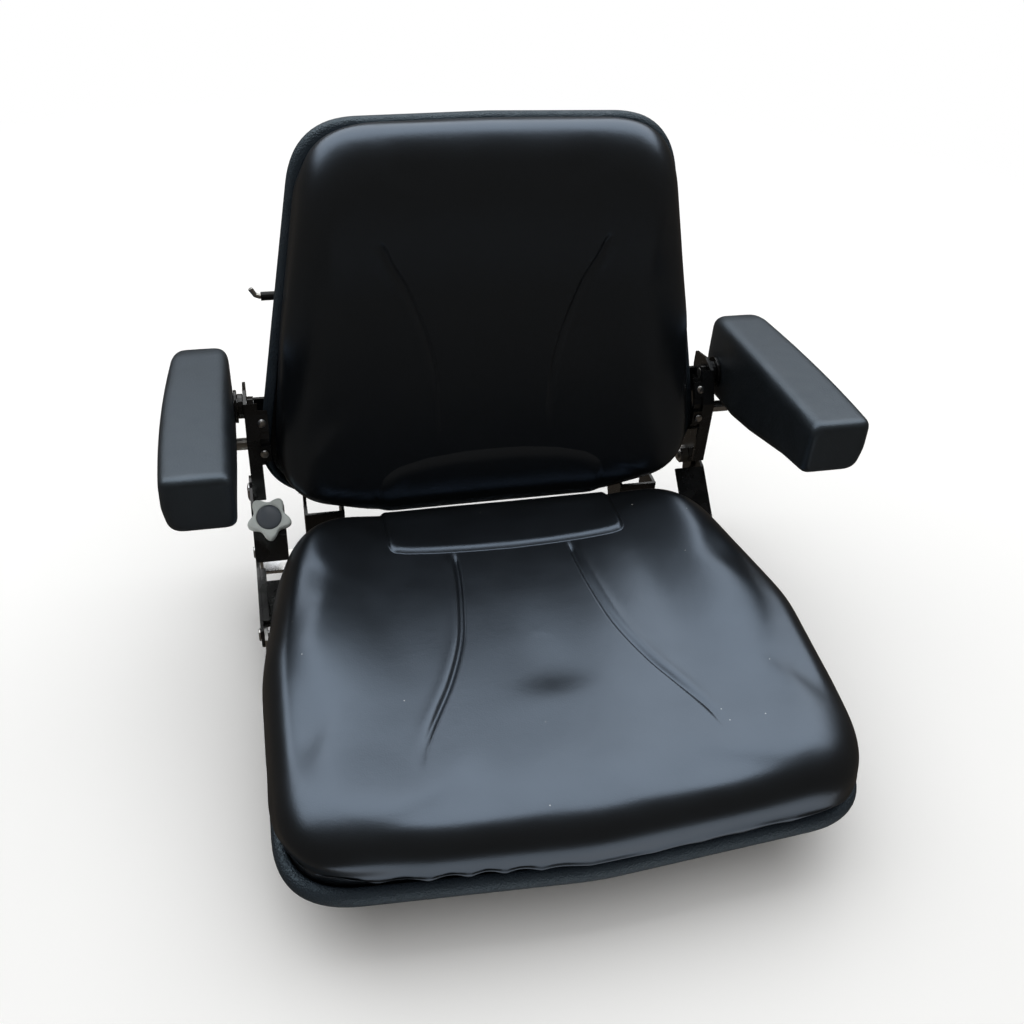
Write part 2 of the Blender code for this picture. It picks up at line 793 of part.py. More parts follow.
def rivet_places():
    """Where the two rivets of each lip stand, with their outward directions."""
    foot, knee, top = (Vector(p) for p in lip_route())
    slope = (top - knee).normalized()
    upper = knee + slope * 0.0160
    return {"lower": (Vector((0, ARM_FRONT_Y, 0.1160)), Vector((0, -1, 0))),
            "upper": (Vector((0, upper.x, upper.y)), Vector((0, -slope.y, slope.x)))}


def lip_ears(inner, outer, offset, thickness, spans):
    """Bands that follow the lip, offset behind its front face, each over a span of its length."""
    route = [Vector(p) for p in lip_route()]
    lengths = [(b - a).length for a, b in zip(route, route[1:])]
    bodies = []
    for start, end in spans:
        points = []
        for travel in sorted({start, end, *([lengths[0]] if start < lengths[0] < end else [])}):
            k = 0 if travel <= lengths[0] else 1
            t = (travel - (lengths[0] if k else 0)) / lengths[k]
            points.append(route[k].lerp(route[k + 1], t))
        base = [Vector(p) for p in reversed(strip(points, offset)[len(points):])]
        bodies.append(prism(strip(base, thickness), inner, outer, across))
    return bodies


def side_arm_mesh(side):
    """The tilting side plate: a web with a lip down its front and a tab behind the strap."""
    inner = ARM_OUTER - PLATE
    low, high = STRAP_LEVEL - STRAP_HEIGHT / 2, STRAP_LEVEL + STRAP_HEIGHT / 2
    rear_low = back_point(0, low, -BACK_PAN_DEPTH - 0.0080)
    rear_high = back_point(0, 0.1300, -BACK_PAN_DEPTH - 0.0080)
    rake = rake_nut_place()
    web = lip_route() + [(0.4600, 0.1670), (rear_high.y, 0.1600), (rear_high.y, rear_high.z),
                         (rear_low.y, rear_low.z)]
    web += circle(HINGE_Y, HINGE_Z, HINGE_BOSS, 0, -90, 4)
    if side < 0:
        web += circle(rake[0], rake[1], 0.0090, -90, -230, 5)
        web += circle(HINGE_Y, HINGE_Z, HINGE_BOSS, 175, 150, 2)
    else:
        web += circle(HINGE_Y, HINGE_Z, HINGE_BOSS, -120, -210, 4)
    web.append((ARM_FRONT_Y + 0.0075, 0.0570))
    body = prism(web, inner, ARM_OUTER, across)
    parts = [prism(strip(lip_route(), PLATE), ARM_OUTER - ARM_LIP, ARM_OUTER - PLATE / 2, across)]
    parts += lip_ears(EAR_INNER, ARM_OUTER - ARM_LIP + 0.001, 0.0003, PLATE - 0.0006,
                      ((0.0480, 0.0640), (0.0800, 0.0960)))
    near = -BACK_PAN_DEPTH - CLEAR - STRAP_THICKNESS - CLEAR
    tab = [back_point(0, v, w) for v, w in
           ((low, near), (high, near), (high, near - PLATE), (low, near - PLATE))]
    parts.append(prism([(p.y, p.z) for p in tab], ARM_OUTER - ARM_TAB, ARM_OUTER - PLATE / 2,
                       across))
    body = join(body, *parts)
    reach = (ARM_OUTER - 0.030, ARM_OUTER + 0.004)
    holes = [
        rod((0, HINGE_Y, HINGE_Z), (1, 0, 0), *reach, HINGE_PIN_RADIUS + RUNNING),
        rod((0, PIVOT_Y, PIVOT_Z), (1, 0, 0), *reach, HINGE_PIN_RADIUS + RUNNING),
        rod((0, STOP_Y, STOP_Z), (1, 0, 0), ARM_OUTER - 0.006, ARM_OUTER + 0.004,
            0.0040 + RUNNING, 12),
    ]
    if side < 0:
        holes.append(rod((0, rake[0], rake[1]), (1, 0, 0), ARM_OUTER - 0.006, ARM_OUTER + 0.004,
                         0.0050 + RUNNING))
    place = back_point(STRAP_BOLT_X, STRAP_LEVEL, -BACK_PAN_DEPTH)
    holes.append(rod(place, back_forward(), -0.0120, 0.0, 0.0030 + RUNNING, 10))
    holes += rivet_holes()
    return mirrored(cut(body, *holes), side)


def rivet_holes():
    return [rod(place + Vector((RIVET_X, 0, 0)), out, -0.0080, 0.0040, 0.0022 + RUNNING, 10)
            for place, out in rivet_places().values()]


def mirrored(mesh, side):
    """The mesh as it is, or its mirror image in the middle plane."""
    if side < 0:
        mesh.transform(Matrix.Diagonal((-1, 1, 1, 1)))
    return face_out(mesh)


def back_forward():
    return Vector((0, -math.cos(BACK_RECLINE), math.sin(BACK_RECLINE)))


def rake_nut_place():
    """The trunnion sits where the spindle's line passes square under the hinge."""
    foot = blade_point(SPINDLE_UP_BLADE, 0.0)
    sine, cosine = math.sin(BLADE_RISE), math.cos(BLADE_RISE)
    reach = (HINGE_Y - foot[0]) * sine - (HINGE_Z - foot[1]) * cosine
    return blade_point(SPINDLE_UP_BLADE, -reach)


def bracket_mesh(side):
    """The lower side bracket: a web with a foot, an inclined blade across its front and a lug."""
    inner = BRACKET_OUTER - PLATE
    top = blade_point(BLADE_LENGTH, 0.0)
    web = [(FOOT_FRONT + 0.004, FOOT_BOTTOM), (FOOT_FRONT, FOOT_BOTTOM + 0.006),
           (FOOT_FRONT + 0.003, FOOT_TOP - 0.004), (FOOT_FRONT + 0.012, FOOT_TOP),
           (BLADE_FOOT_Y - 0.006, FOOT_TOP), (BLADE_FOOT_Y, BLADE_FOOT_Z), top]
    web += circle(HINGE_Y, HINGE_Z, HINGE_BOSS, 130, 0, 6)
    web += [(HINGE_Y + 0.006, FOOT_BOTTOM + 0.008), (HINGE_Y, FOOT_BOTTOM)]
    body = prism(web, inner, BRACKET_OUTER, across)
    route = [blade_point(0.0, 0.0), top]
    overlap = BRACKET_OUTER - PLATE / 2
    blade = prism(strip(list(reversed(route)), -PLATE), BLADE_INNER, overlap, across)
    near, far = BRACKET_LUG_SPAN
    lug = box((BRACKET_OUTER - BRACKET_LUG, near, FOOT_BOTTOM), (overlap, far, FOOT_BOTTOM + PLATE))
    near, far = BRACKET_LIP_SPAN
    lip = box((BRACKET_OUTER - BRACKET_LIP, near, FOOT_TOP - PLATE), (overlap, far, FOOT_TOP - CLEAR))
    body = join(body, blade, lug, lip)
    foot = blade_point(SPINDLE_UP_BLADE, 0.0)
    sine, cosine = math.sin(BLADE_RISE), math.cos(BLADE_RISE)
    holes = [rod((0, HINGE_Y, HINGE_Z), (1, 0, 0), inner - 0.002, BRACKET_OUTER + 0.002,
                 HINGE_PIN_RADIUS + RUNNING)]
    if side < 0:
        holes.append(rod((-SPINDLE_X, foot[0], foot[1]), (0, -sine, cosine), -0.008, 0.008,
                         SPINDLE_RADIUS + RUNNING * 2))
    for y in (sum(REAR_BAR) / 2, sum(ANGLE_SPAN) / 2 + 0.004):
        holes.append(rod((0, y, -0.0010), (1, 0, 0), inner - 0.002, BRACKET_OUTER + 0.002,
                         0.0030 + RUNNING, 10))
    return mirrored(cut(body, *holes), side)


def bar_behind_shell(level, half):
    """A flat bar across the back of the shell: its mesh and the corners of its section."""
    low, high = level - STRAP_HEIGHT / 2, level + STRAP_HEIGHT / 2
    near = -BACK_PAN_DEPTH - CLEAR
    section = [back_point(0, v, w) for v, w in
               ((low, near), (high, near), (high, near - STRAP_THICKNESS),
                (low, near - STRAP_THICKNESS))]
    return prism([(p.y, p.z) for p in section], -half, half, across), section


def strap_mesh():
    """The lower bar, with the two lugs that the hinge shaft passes through."""
    body, section = bar_behind_shell(STRAP_LEVEL, ARM_OUTER - PLATE - CLEAR)
    lugs = []
    for x in (-0.100, 0.100):
        outline = circle(HINGE_Y, HINGE_Z, POST_BOSS, 180, 360, 8)
        outline += [(section[3].y, section[3].z + 0.002), (section[0].y, section[0].z + 0.002)]
        lugs.append(prism(outline, x - 0.004, x + 0.004, across))
    body = join(body, *lugs)
    holes = [rod((0, HINGE_Y, HINGE_Z), (1, 0, 0), -0.150, 0.150, SHAFT_RADIUS + RUNNING)]
    for side in (-1, 1):
        place = back_point(side * STRAP_BOLT_X, STRAP_LEVEL, -BACK_PAN_DEPTH)
        holes.append(rod(place, back_forward(), -0.0120, 0.002, 0.0030 + RUNNING, 10))
    return cut(body, *holes)


def saddle_mesh():
    """The upper bar: its ends turn forward round the shell and in again behind the arms' lips."""
    outer = ARM_OUTER - PLATE - CLEAR
    body, section = bar_behind_shell(SADDLE_LEVEL, outer)
    behind = PLATE + CLEAR
    front_low, front_high = 0.0440, 0.1000
    parts = []
    for side in (-1, 1):
        ear = lip_ears(EAR_INNER, outer - 0.001, behind, EAR_SHEET, ((front_low, front_high),))[0]
        rear = section[3].lerp(section[2], 0.7)
        leg = [(ARM_FRONT_Y + behind + 0.001, 0.1060), (ARM_FRONT_Y + behind + 0.001, 0.1300),
               (ARM_FRONT_Y + behind + 0.0040, 0.1375), (rear.y, rear.z),
               (section[3].y, section[3].z)]
        parts.append(mirrored(ear, side))
        parts.append(mirrored(prism(leg, outer - 0.0030, outer, across), side))
    body = join(body, *parts)
    holes = []
    for side in (-1, 1):
        holes += [mirrored(hole, side) for hole in rivet_holes()]
    return cut(body, *holes)


def post_mesh(side):
    """A channel that stands on the rear bar; its cheeks carry the hinge shaft."""
    base = -PAN_DROP
    top = base + PLATE
    front = box((POST_INNER, POST_FRONT, base), (POST_OUTER, POST_FRONT + PLATE, POST_TOP))
    cheek = [(POST_FRONT + PLATE / 2, base), (HINGE_Y - 0.008, base), (HINGE_Y + 0.004, base + 0.016)]
    cheek += circle(HINGE_Y, HINGE_Z, POST_BOSS, -20, 165, 8)
    cheek += [(HINGE_Y - 0.0140, POST_TOP), (POST_FRONT + PLATE / 2, POST_TOP)]
    parts = [prism(cheek, x, x + PLATE, across) for x in (POST_INNER, POST_OUTER - PLATE)]
    parts.append(box((POST_INNER, REAR_BAR[0] + 0.002, base),
                     (POST_OUTER, POST_FRONT + PLATE / 2, top)))
    body = join(front, *parts)
    middle = (POST_INNER + POST_OUTER) / 2
    holes = [
        rod((0, HINGE_Y, HINGE_Z), (1, 0, 0), POST_INNER - 0.01, POST_OUTER + 0.01,
            SHAFT_RADIUS + RUNNING),
        post_screw_hole(middle),
    ]
    return mirrored(cut(body, *holes), side)


def post_screw_hole(x):
    return rod((x, post_screw_y(), -PAN_DROP), (0, 0, 1), -0.0080, 0.0060, 0.0040 + RUNNING, 12)


def post_screw_y():
    return (REAR_BAR[0] + POST_FRONT) / 2


def hex_head(centre, axis, start, end, flat):
    """A six sided head or nut blank, flat to flat."""
    return rod(centre, axis, start, end, flat / math.sqrt(3), 6)


def frame_pieces(finishes, seat, back):
    paint, zinc = finishes["paint"], finishes["zinc"]
    names = {-1: "left", 1: "right"}
    base = -PAN_DROP - CLEAR
    for side, name in names.items():
        out = Vector((side, 0, 0))
        add(f"back_arm_{name}", side_arm_mesh(side), paint, back)
        add(f"side_bracket_{name}", bracket_mesh(side), paint, seat)
        add(f"rear_post_{name}", post_mesh(side), paint, seat)
        shank_end = ARM_OUTER - (0.0063 if side < 0 else 0.0149)
        bolt = turned([(shank_end, HINGE_PIN_RADIUS), (BRACKET_OUTER + CLEAR, HINGE_PIN_RADIUS),
                       (BRACKET_OUTER + CLEAR, 0.0095), (BRACKET_OUTER + 0.0016, 0.0090),
                       (BRACKET_OUTER + 0.0026, 0.0060)], (0, HINGE_Y, HINGE_Z), out, 20)
        add(f"hinge_bolt_{name}", bolt, zinc, seat)
        nut_face = ARM_OUTER - PLATE - CLEAR
        nut_depth = 0.0028 if side < 0 else 0.0090
        nut = cut(hex_head((0, HINGE_Y, HINGE_Z), out, nut_face - nut_depth, nut_face, 0.0170),
                  rod((0, HINGE_Y, HINGE_Z), out, nut_face - 0.02, nut_face + 0.01,
                      HINGE_PIN_RADIUS + RUNNING))
        add(f"hinge_nut_{name}", nut, zinc, seat)
    bar_low = base - BAR_THICKNESS
    half = BRACKET_OUTER - PLATE - CLEAR
    rear_bar = join(
        box((-half, REAR_BAR[0], bar_low), (half, REAR_BAR[1], base)),
        *[box((min(s * half, s * (half - PLATE)), REAR_BAR[0] + 0.003, bar_low + 0.001),
              (max(s * half, s * (half - PLATE)), REAR_BAR[1] - 0.003, UPRIGHT_TOP)) for s in (-1, 1)])
    side_holes = [rod((0, sum(REAR_BAR) / 2, -0.0010), (s, 0, 0), half - 0.01, half + 0.01,
                      0.0030 + RUNNING, 10) for s in (-1, 1)]
    post_x = (POST_INNER + POST_OUTER) / 2
    add("rear_cross_bar", cut(rear_bar, *side_holes, post_screw_hole(-post_x),
                              post_screw_hole(post_x)), zinc, seat)
    for side, name in names.items():
        bottom = base - BAR_THICKNESS
        screw = turned([(bottom - 0.0010, 0.0036), (bottom, 0.0040), (-PAN_DROP + PLATE + CLEAR, 0.0040),
                        (-PAN_DROP + PLATE + CLEAR, 0.0075), (-PAN_DROP + PLATE + 0.0045, 0.0070)],
                       (side * post_x, post_screw_y(), 0), (0, 0, 1), 12)
        add(f"post_screw_{name}", screw, zinc, seat)
    front_bar = box((-FRONT_BAR_HALF, FRONT_BAR[0], bar_low), (FRONT_BAR_HALF, FRONT_BAR[1], base))
    add("front_cross_bar", front_bar, zinc, seat)
    angle_y = sum(ANGLE_SPAN) / 2 + 0.004
    for side, name in names.items():
        angle = join(
            box((half - ANGLE_REACH, ANGLE_SPAN[0], bar_low), (half, ANGLE_SPAN[1], base)),
            box((half - PLATE, ANGLE_SPAN[0], bar_low + 0.001), (half, ANGLE_SPAN[1], UPRIGHT_TOP)))
        angle = cut(angle, rod((0, angle_y, -0.0010), (1, 0, 0), half - 0.01, half + 0.01,
                               0.0030 + RUNNING, 10))
        add(f"side_angle_{name}", mirrored(angle, side), zinc, seat)
        for tag, y in (("rear", sum(REAR_BAR) / 2), ("front", angle_y)):
            screw = turned([(half - PLATE - 0.004, 0.0030), (BRACKET_OUTER + CLEAR, 0.0030),
                            (BRACKET_OUTER + CLEAR, 0.0062), (BRACKET_OUTER + 0.0022, 0.0055)],
                           (0, y, -0.0010), (side, 0, 0), 10)
            add(f"bracket_screw_{tag}_{name}", screw, zinc, seat)
    add("back_strap", strap_mesh(), paint, back)
    add("back_saddle", saddle_mesh(), paint, back)
    add("hinge_shaft", rod((0, HINGE_Y, HINGE_Z), (1, 0, 0), -POST_OUTER - 0.004,
                           POST_OUTER + 0.004, SHAFT_RADIUS), zinc, back)
    for side, name in names.items():
        place = back_point(side * STRAP_BOLT_X, STRAP_LEVEL, -BACK_PAN_DEPTH)
        screw = turned([(-0.0105, 0.0030), (0.0, 0.0030), (0.0, 0.0050), (0.0030, 0.0050),
                        (0.0042, 0.0035)], place, back_forward(), 12)
        add(f"strap_bolt_{name}", screw, zinc, back)
        for tag, (place, out) in rivet_places().items():
            grip = -PLATE - CLEAR - EAR_SHEET - CLEAR
            rivet = turned([(grip - 0.0022, 0.0034), (grip, 0.0040), (grip, 0.0022),
                            (CLEAR, 0.0022), (CLEAR, 0.0044), (0.0018, 0.0038), (0.0028, 0.0018)],
                           place + Vector((side * RIVET_X, 0, 0)), out, 12)
            add(f"arm_rivet_{tag}_{name}", rivet, zinc, back)


def star_outline(share):
    """The knob's lobed outline, at a share of its size."""
    count = KNOB_LOBES * 8
    out = []
    for k in range(count):
        turn = 2 * math.pi * k / count
        wave = 0.5 - 0.5 * math.cos(KNOB_LOBES * (turn - math.pi / 2))
        radius = KNOB_WAIST + (KNOB_RADIUS - KNOB_WAIST) * wave ** 1.15
        out.append((radius * share * math.cos(turn), radius * share * math.sin(turn)))
    return out


def rake_adjuster(finishes, knob_axis, nut_axis):
    """Star knob, cap, spindle and trunnion, in line across the left bracket's blade."""
    sine, cosine = math.sin(BLADE_RISE), math.cos(BLADE_RISE)
    forward = Vector((0, -sine, cosine))
    foot = blade_point(SPINDLE_UP_BLADE, 0.0)
    centre = Vector((SPINDLE_X, foot[0], foot[1]))
    side = Vector((1, 0, 0))
    up = forward.cross(side)

    def place(a, b, reach):
        return centre + side * a + up * b + forward * reach

    base = KNOB_STANDOFF
    top = base + KNOB_THICKNESS
    rings = []
    for share, reach in ((0.92, base), (1.0, base + 0.0025), (1.0, top - 0.0040), (0.90, top)):
        rings.append([place(a, b, reach) for a, b in star_outline(share)])
    knob = join(loft(rings), rod(centre, forward, CLEAR + 0.0003, base + 0.002, 0.0090, 20))
    recess = rod(centre, forward, top - 0.0030, top + 0.003, KNOB_CAP_RADIUS + CLEAR, 24)
    bore = rod(centre, forward, -0.002, top - 0.0060, SPINDLE_RADIUS + RUNNING, 16)
    add("star_knob", cut(knob, recess, bore), finishes["knob"], knob_axis, 50.0)
    floor = top - 0.0030 + CLEAR
    cap = turned([(floor, KNOB_CAP_RADIUS), (top, KNOB_CAP_RADIUS),
                  (top + KNOB_CAP_HEIGHT * 0.55, KNOB_CAP_RADIUS * 0.86),
                  (top + KNOB_CAP_HEIGHT * 0.9, KNOB_CAP_RADIUS * 0.5),
                  (top + KNOB_CAP_HEIGHT, KNOB_CAP_RADIUS * 0.12)], centre, forward, 24)
    add("knob_cap", cap, finishes["cap"], knob_axis, 50.0)
    behind = -PLATE - CLEAR - 0.0003
    spindle = turned([(-SPINDLE_TAIL, SPINDLE_RADIUS * 0.7), (-SPINDLE_TAIL + 0.0015, SPINDLE_RADIUS),
                      (behind - 0.0025, SPINDLE_RADIUS), (behind - 0.0025, SPINDLE_COLLAR),
                      (behind, SPINDLE_COLLAR), (behind, SPINDLE_RADIUS),
                      (top - 0.0065, SPINDLE_RADIUS)], centre, forward, 16)
    add("rake_spindle", spindle, finishes["zinc"], knob_axis)
    rake = rake_nut_place()
    middle = Vector((0, rake[0], rake[1]))
    reach = -SPINDLE_X
    nut = turned([(reach - RAKE_NUT_LENGTH / 2, RAKE_NUT_RADIUS),
                  (reach + RAKE_NUT_LENGTH / 2, RAKE_NUT_RADIUS),
                  (reach + RAKE_NUT_LENGTH / 2, 0.0050), (ARM_OUTER - 0.0002, 0.0050)],
                 middle, (-1, 0, 0), 20)
    bore = rod(Vector((SPINDLE_X, rake[0], rake[1])), forward, -0.012, 0.012, RAKE_NUT_BORE, 16)
    add("rake_nut", cut(nut, bore), finishes["zinc"], nut_axis)


def pad_lower(y):
    """Height of the armrest's underside."""
    for (a, low), (b, high) in zip(PAD_UNDERSIDE, PAD_UNDERSIDE[1:]):
        if y <= b:
            return low + (high - low) * (y - a) / (b - a)
    return PAD_UNDERSIDE[-1][1]


def pad_section(y, shrink):
    """One cross section of the armrest: flat inside, rounder outside and below."""
    share = (y - PAD_FRONT) / (PAD_REAR - PAD_FRONT)
    top = PAD_TOP_FRONT + (PAD_TOP_REAR - PAD_TOP_FRONT) * share - shrink * 0.9
    bottom = pad_lower(y) + shrink * 0.4
    inner = PAD_INNER + shrink * 0.55
    outer = PAD_OUTER - PAD_TAPER * (share - 0.35) ** 2 / 0.42 - shrink
    height = top - bottom
    lower = min(0.0240, height * 0.45)
    upper = min(0.0085, height * 0.25)
    corners = [(inner, bottom), (outer - 0.004, bottom), (outer, bottom + height * 0.45),
               (outer - 0.001, top), (inner, top)]
    radii = [min(0.009, height * 0.2), lower, 0.030, upper, min(0.0110, height * 0.25)]
    return [Vector((p.x, y, p.y)) for p in soft_corners(corners, radii, 4)]


def armrest(finishes, side, name, back, axis):
    """A moulded pad on its shoulder bolt, with its washers, nut and stop pin."""
    zinc = finishes["zinc"]
    pad = loft([pad_section(y, shrink) for y, shrink in PAD_ENDS])
    centre = (0, PIVOT_Y, PIVOT_Z)
    pad = cut(pad, rod(centre, (1, 0, 0), PAD_INNER - 0.004, PAD_INNER + PIVOT_DEPTH,
                       PIVOT_RADIUS + RUNNING, 20))
    add(f"armrest_pad_{name}", mirrored(pad, side), finishes["foam"], axis, 50.0)
    out = (side, 0, 0)
    start = ARM_OUTER - PLATE - 0.0065
    bolt = turned([(start, HINGE_PIN_RADIUS), (ARM_OUTER + CLEAR, HINGE_PIN_RADIUS),
                   (ARM_OUTER + CLEAR, PIVOT_RADIUS),
                   (PAD_INNER + PIVOT_DEPTH - 0.0010, PIVOT_RADIUS)], centre, out, 20)
    add(f"armrest_pivot_{name}", bolt, zinc, back)
    nut_face = ARM_OUTER - PLATE - CLEAR
    nut = cut(hex_head(centre, out, nut_face - 0.0060, nut_face, 0.0160),
              rod(centre, out, nut_face - 0.02, nut_face + 0.01, HINGE_PIN_RADIUS + RUNNING))
    add(f"armrest_nut_{name}", nut, zinc, back)
    spacer_end = PAD_INNER - CLEAR - 0.0028
    add(f"armrest_spacer_{name}",
        washer(centre, out, ARM_OUTER + CLEAR, spacer_end - CLEAR, PIVOT_RADIUS + RUNNING, 0.0120),
        finishes["paint"], back)
    add(f"armrest_washer_{name}",
        washer(centre, out, spacer_end, PAD_INNER - CLEAR, PIVOT_RADIUS + RUNNING, 0.0160),
        zinc, back)
    pin = turned([(ARM_OUTER - PLATE + 0.0002, 0.0040), (ARM_OUTER + CLEAR, 0.0040),
                  (ARM_OUTER + CLEAR, STOP_RADIUS), (ARM_OUTER + STOP_LENGTH - 0.001, STOP_RADIUS),
                  (ARM_OUTER + STOP_LENGTH, STOP_RADIUS - 0.001)],
                 (0, STOP_Y, STOP_Z), out, 16)
    add(f"stop_pin_{name}", pin, zinc, back)


def hook_pieces(finishes, back):
    """A bent wire hook with a sleeve, on the left edge of the backrest shell."""
    level, depth, wire = 0.2330, -0.0125, 0.0025
    root = -0.1830
    flange = -SHEET / 2 - CLEAR
    points = [(root, level, flange), (root, level, depth + 0.0028),
              (root - 0.0028, level, depth), (-0.2120, level, depth), (-0.2160, level + 0.0015, depth),
              (-0.2200, level + 0.0080, depth)]
    add("hook_wire", bent_wire([back_point(*p) for p in points], wire, 8), finishes["zinc"], back)
    start = back_point(-0.1980, level, depth)
    sleeve = washer(start, (-1, 0, 0), 0.0, 0.0130, wire + CLEAR, 0.0042, 12)
    add("hook_sleeve", sleeve, finishes["sleeve"], back)


def lower_rail_mesh(side):
    """A C section rail with a row of latch notches in its inner lip."""
    low = -DATUM_HEIGHT
    wall = RAIL_HALF - RAIL_SHEET
    half = [(RAIL_HALF, 0), (RAIL_HALF, RAIL_SIDE), (RAIL_MOUTH, RAIL_SIDE),
            (RAIL_MOUTH, RAIL_SIDE - RAIL_SHEET), (wall, RAIL_SIDE - RAIL_SHEET),
            (wall, RAIL_SHEET)]
    outline = half + [(-a, b) for a, b in reversed(half)]
    outline = [(RAIL_CENTRE + a, low + b) for a, b in outline]
    body = prism(outline, RAIL_FRONT, RAIL_FRONT + RAIL_LENGTH, along)
    first = RAIL_FRONT + 0.0175
    notches = []
    for k in range(NOTCH_COUNT):
        y = first + k * NOTCH_PITCH
        notches.append(box(
            (RAIL_CENTRE - wall + 0.001, y, low + RAIL_SIDE - RAIL_SHEET - 0.001),
            (RAIL_CENTRE - RAIL_MOUTH - 0.0022, y + NOTCH_WIDTH, low + RAIL_SIDE + 0.001)))
    for y in (RAIL_FRONT + 0.020, RAIL_FRONT + RAIL_LENGTH - 0.020):
        notches.append(rod((RAIL_CENTRE, y, low), (0, 0, 1), -0.002, RAIL_SHEET + 0.002, 0.0045, 12))
    return mirrored(cut(body, *notches), side)


def upper_rail_mesh(side):
    """The runner: an inverted channel whose hooked feet ride inside the lower rail."""
    low = -DATUM_HEIGHT + RAIL_SHEET + CLEAR
    high = -PAN_DROP - CLEAR - BAR_THICKNESS - CLEAR
    web = RUNNER_WEB - RAIL_SHEET
    hook = -DATUM_HEIGHT + RAIL_SIDE - RAIL_SHEET - CLEAR
    half = [(RUNNER_WEB, high), (RUNNER_WEB, low + RAIL_SHEET),
            (RUNNER_HALF - RAIL_SHEET, low + RAIL_SHEET),
            (RUNNER_HALF - RAIL_SHEET, hook), (RUNNER_HALF, hook), (RUNNER_HALF, low),
            (web, low), (web, high - RAIL_SHEET)]
    outline = half + [(-a, b) for a, b in reversed(half)]
    outline = [(RAIL_CENTRE + a, b) for a, b in outline]
    body = prism(outline, RAIL_FRONT, RAIL_FRONT + RAIL_LENGTH, along)
    hole = rod((0, LATCH_PIVOT_Y, latch_level()), (1, 0, 0), RAIL_CENTRE - 0.020,
               RAIL_CENTRE, LATCH_WIRE + RUNNING, 12)
    return mirrored(cut(body, hole), side)


def latch_level():
    return -DATUM_HEIGHT + RAIL_SIDE + LATCH_WIRE + 0.0015


def latch_mesh():
    """A towel bar latch: one bent wire from runner to runner with a tooth over each rail."""
    level = latch_level()
    inner_web = RAIL_CENTRE - RUNNER_WEB
    route = [(inner_web + 0.0022, LATCH_PIVOT_Y, level), (LATCH_ARM_X + 0.002, LATCH_PIVOT_Y, level),
             (LATCH_ARM_X, LATCH_PIVOT_Y - 0.002, level), (LATCH_ARM_X, 0.0920, level),
             (LATCH_ARM_X - 0.003, 0.0700, level - LATCH_DROP * 0.7),
             (LATCH_ARM_X - 0.012, LATCH_FRONT, level - LATCH_DROP)]
    route += [(-x, y, z) for x, y, z in reversed(route)]
    body = bent_wire(route, LATCH_WIRE, 8)
    teeth = []
    for side in (-1, 1):
        low_x, high_x = sorted((side * LATCH_ARM_X, side * (RAIL_CENTRE - RAIL_MOUTH - 0.0035)))
        teeth.append(box((low_x, 0.1785, -DATUM_HEIGHT + RAIL_SIDE + 0.0004),
                         (high_x, 0.1825, level + LATCH_WIRE * 0.5)))
    return join(body, *teeth)


def slide_pieces(finishes, base, seat, latch):
    for side, name in ((-1, "left"), (1, "right")):
        add(f"lower_rail_{name}", lower_rail_mesh(side), finishes["paint"], base)
        add(f"upper_rail_{name}", upper_rail_mesh(side), finishes["zinc"], seat)
    add("latch_bar", latch_mesh(), finishes["paint"], latch, 40.0)


def build():
    clear_scene()
    finishes = make_finishes()
    base = pivot("floor_anchor", datum(0, SEAT_DEPTH / 2, -DATUM_HEIGHT))
    seat = pivot("slide_axis", datum(0, SEAT_DEPTH / 2, -DATUM_HEIGHT + RAIL_SIDE), base)
    back = pivot("rake_axis", datum(0, HINGE_Y, HINGE_Z), seat)
    foot = blade_point(SPINDLE_UP_BLADE, 0.0)
    knob = pivot("knob_axis", datum(SPINDLE_X, *foot), seat)
    nut = pivot("rake_nut_axis", datum(SPINDLE_X, *rake_nut_place()), back)
    latch = pivot("latch_axis", datum(0, LATCH_PIVOT_Y, latch_level()), seat)
    shells(finishes, seat, back)
    soft_pieces(finishes, seat, back)
    frame_pieces(finishes, seat, back)
    rake_adjuster(finishes, knob, nut)
    for side, name in ((-1, "left"), (1, "right")):
        axis = pivot(f"armrest_axis_{name}", datum(side * PAD_INNER, PIVOT_Y, PIVOT_Z), back)
        armrest(finishes, side, name, back, axis)
    hook_pieces(finishes, back)
    slide_pieces(finishes, base, seat, latch)


build()
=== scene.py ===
"""Finish of a forklift seat: vinyl covers, edge trim, armrest pads, star knob, plating and paint.

Every length is in metres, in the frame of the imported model: +Z up, the driver faces -Y.
Shapes are written from a datum: x from the middle plane, y back from the front of the edge trim,
z up from the underside of that trim. The backrest has its own plane: u across, v up, w forward.
"""

import math
from functools import cached_property

import bmesh
import bpy
import numpy as np
from bpy.props import FloatProperty, FloatVectorProperty, IntProperty, PointerProperty
from mathutils import Matrix, Vector, noise


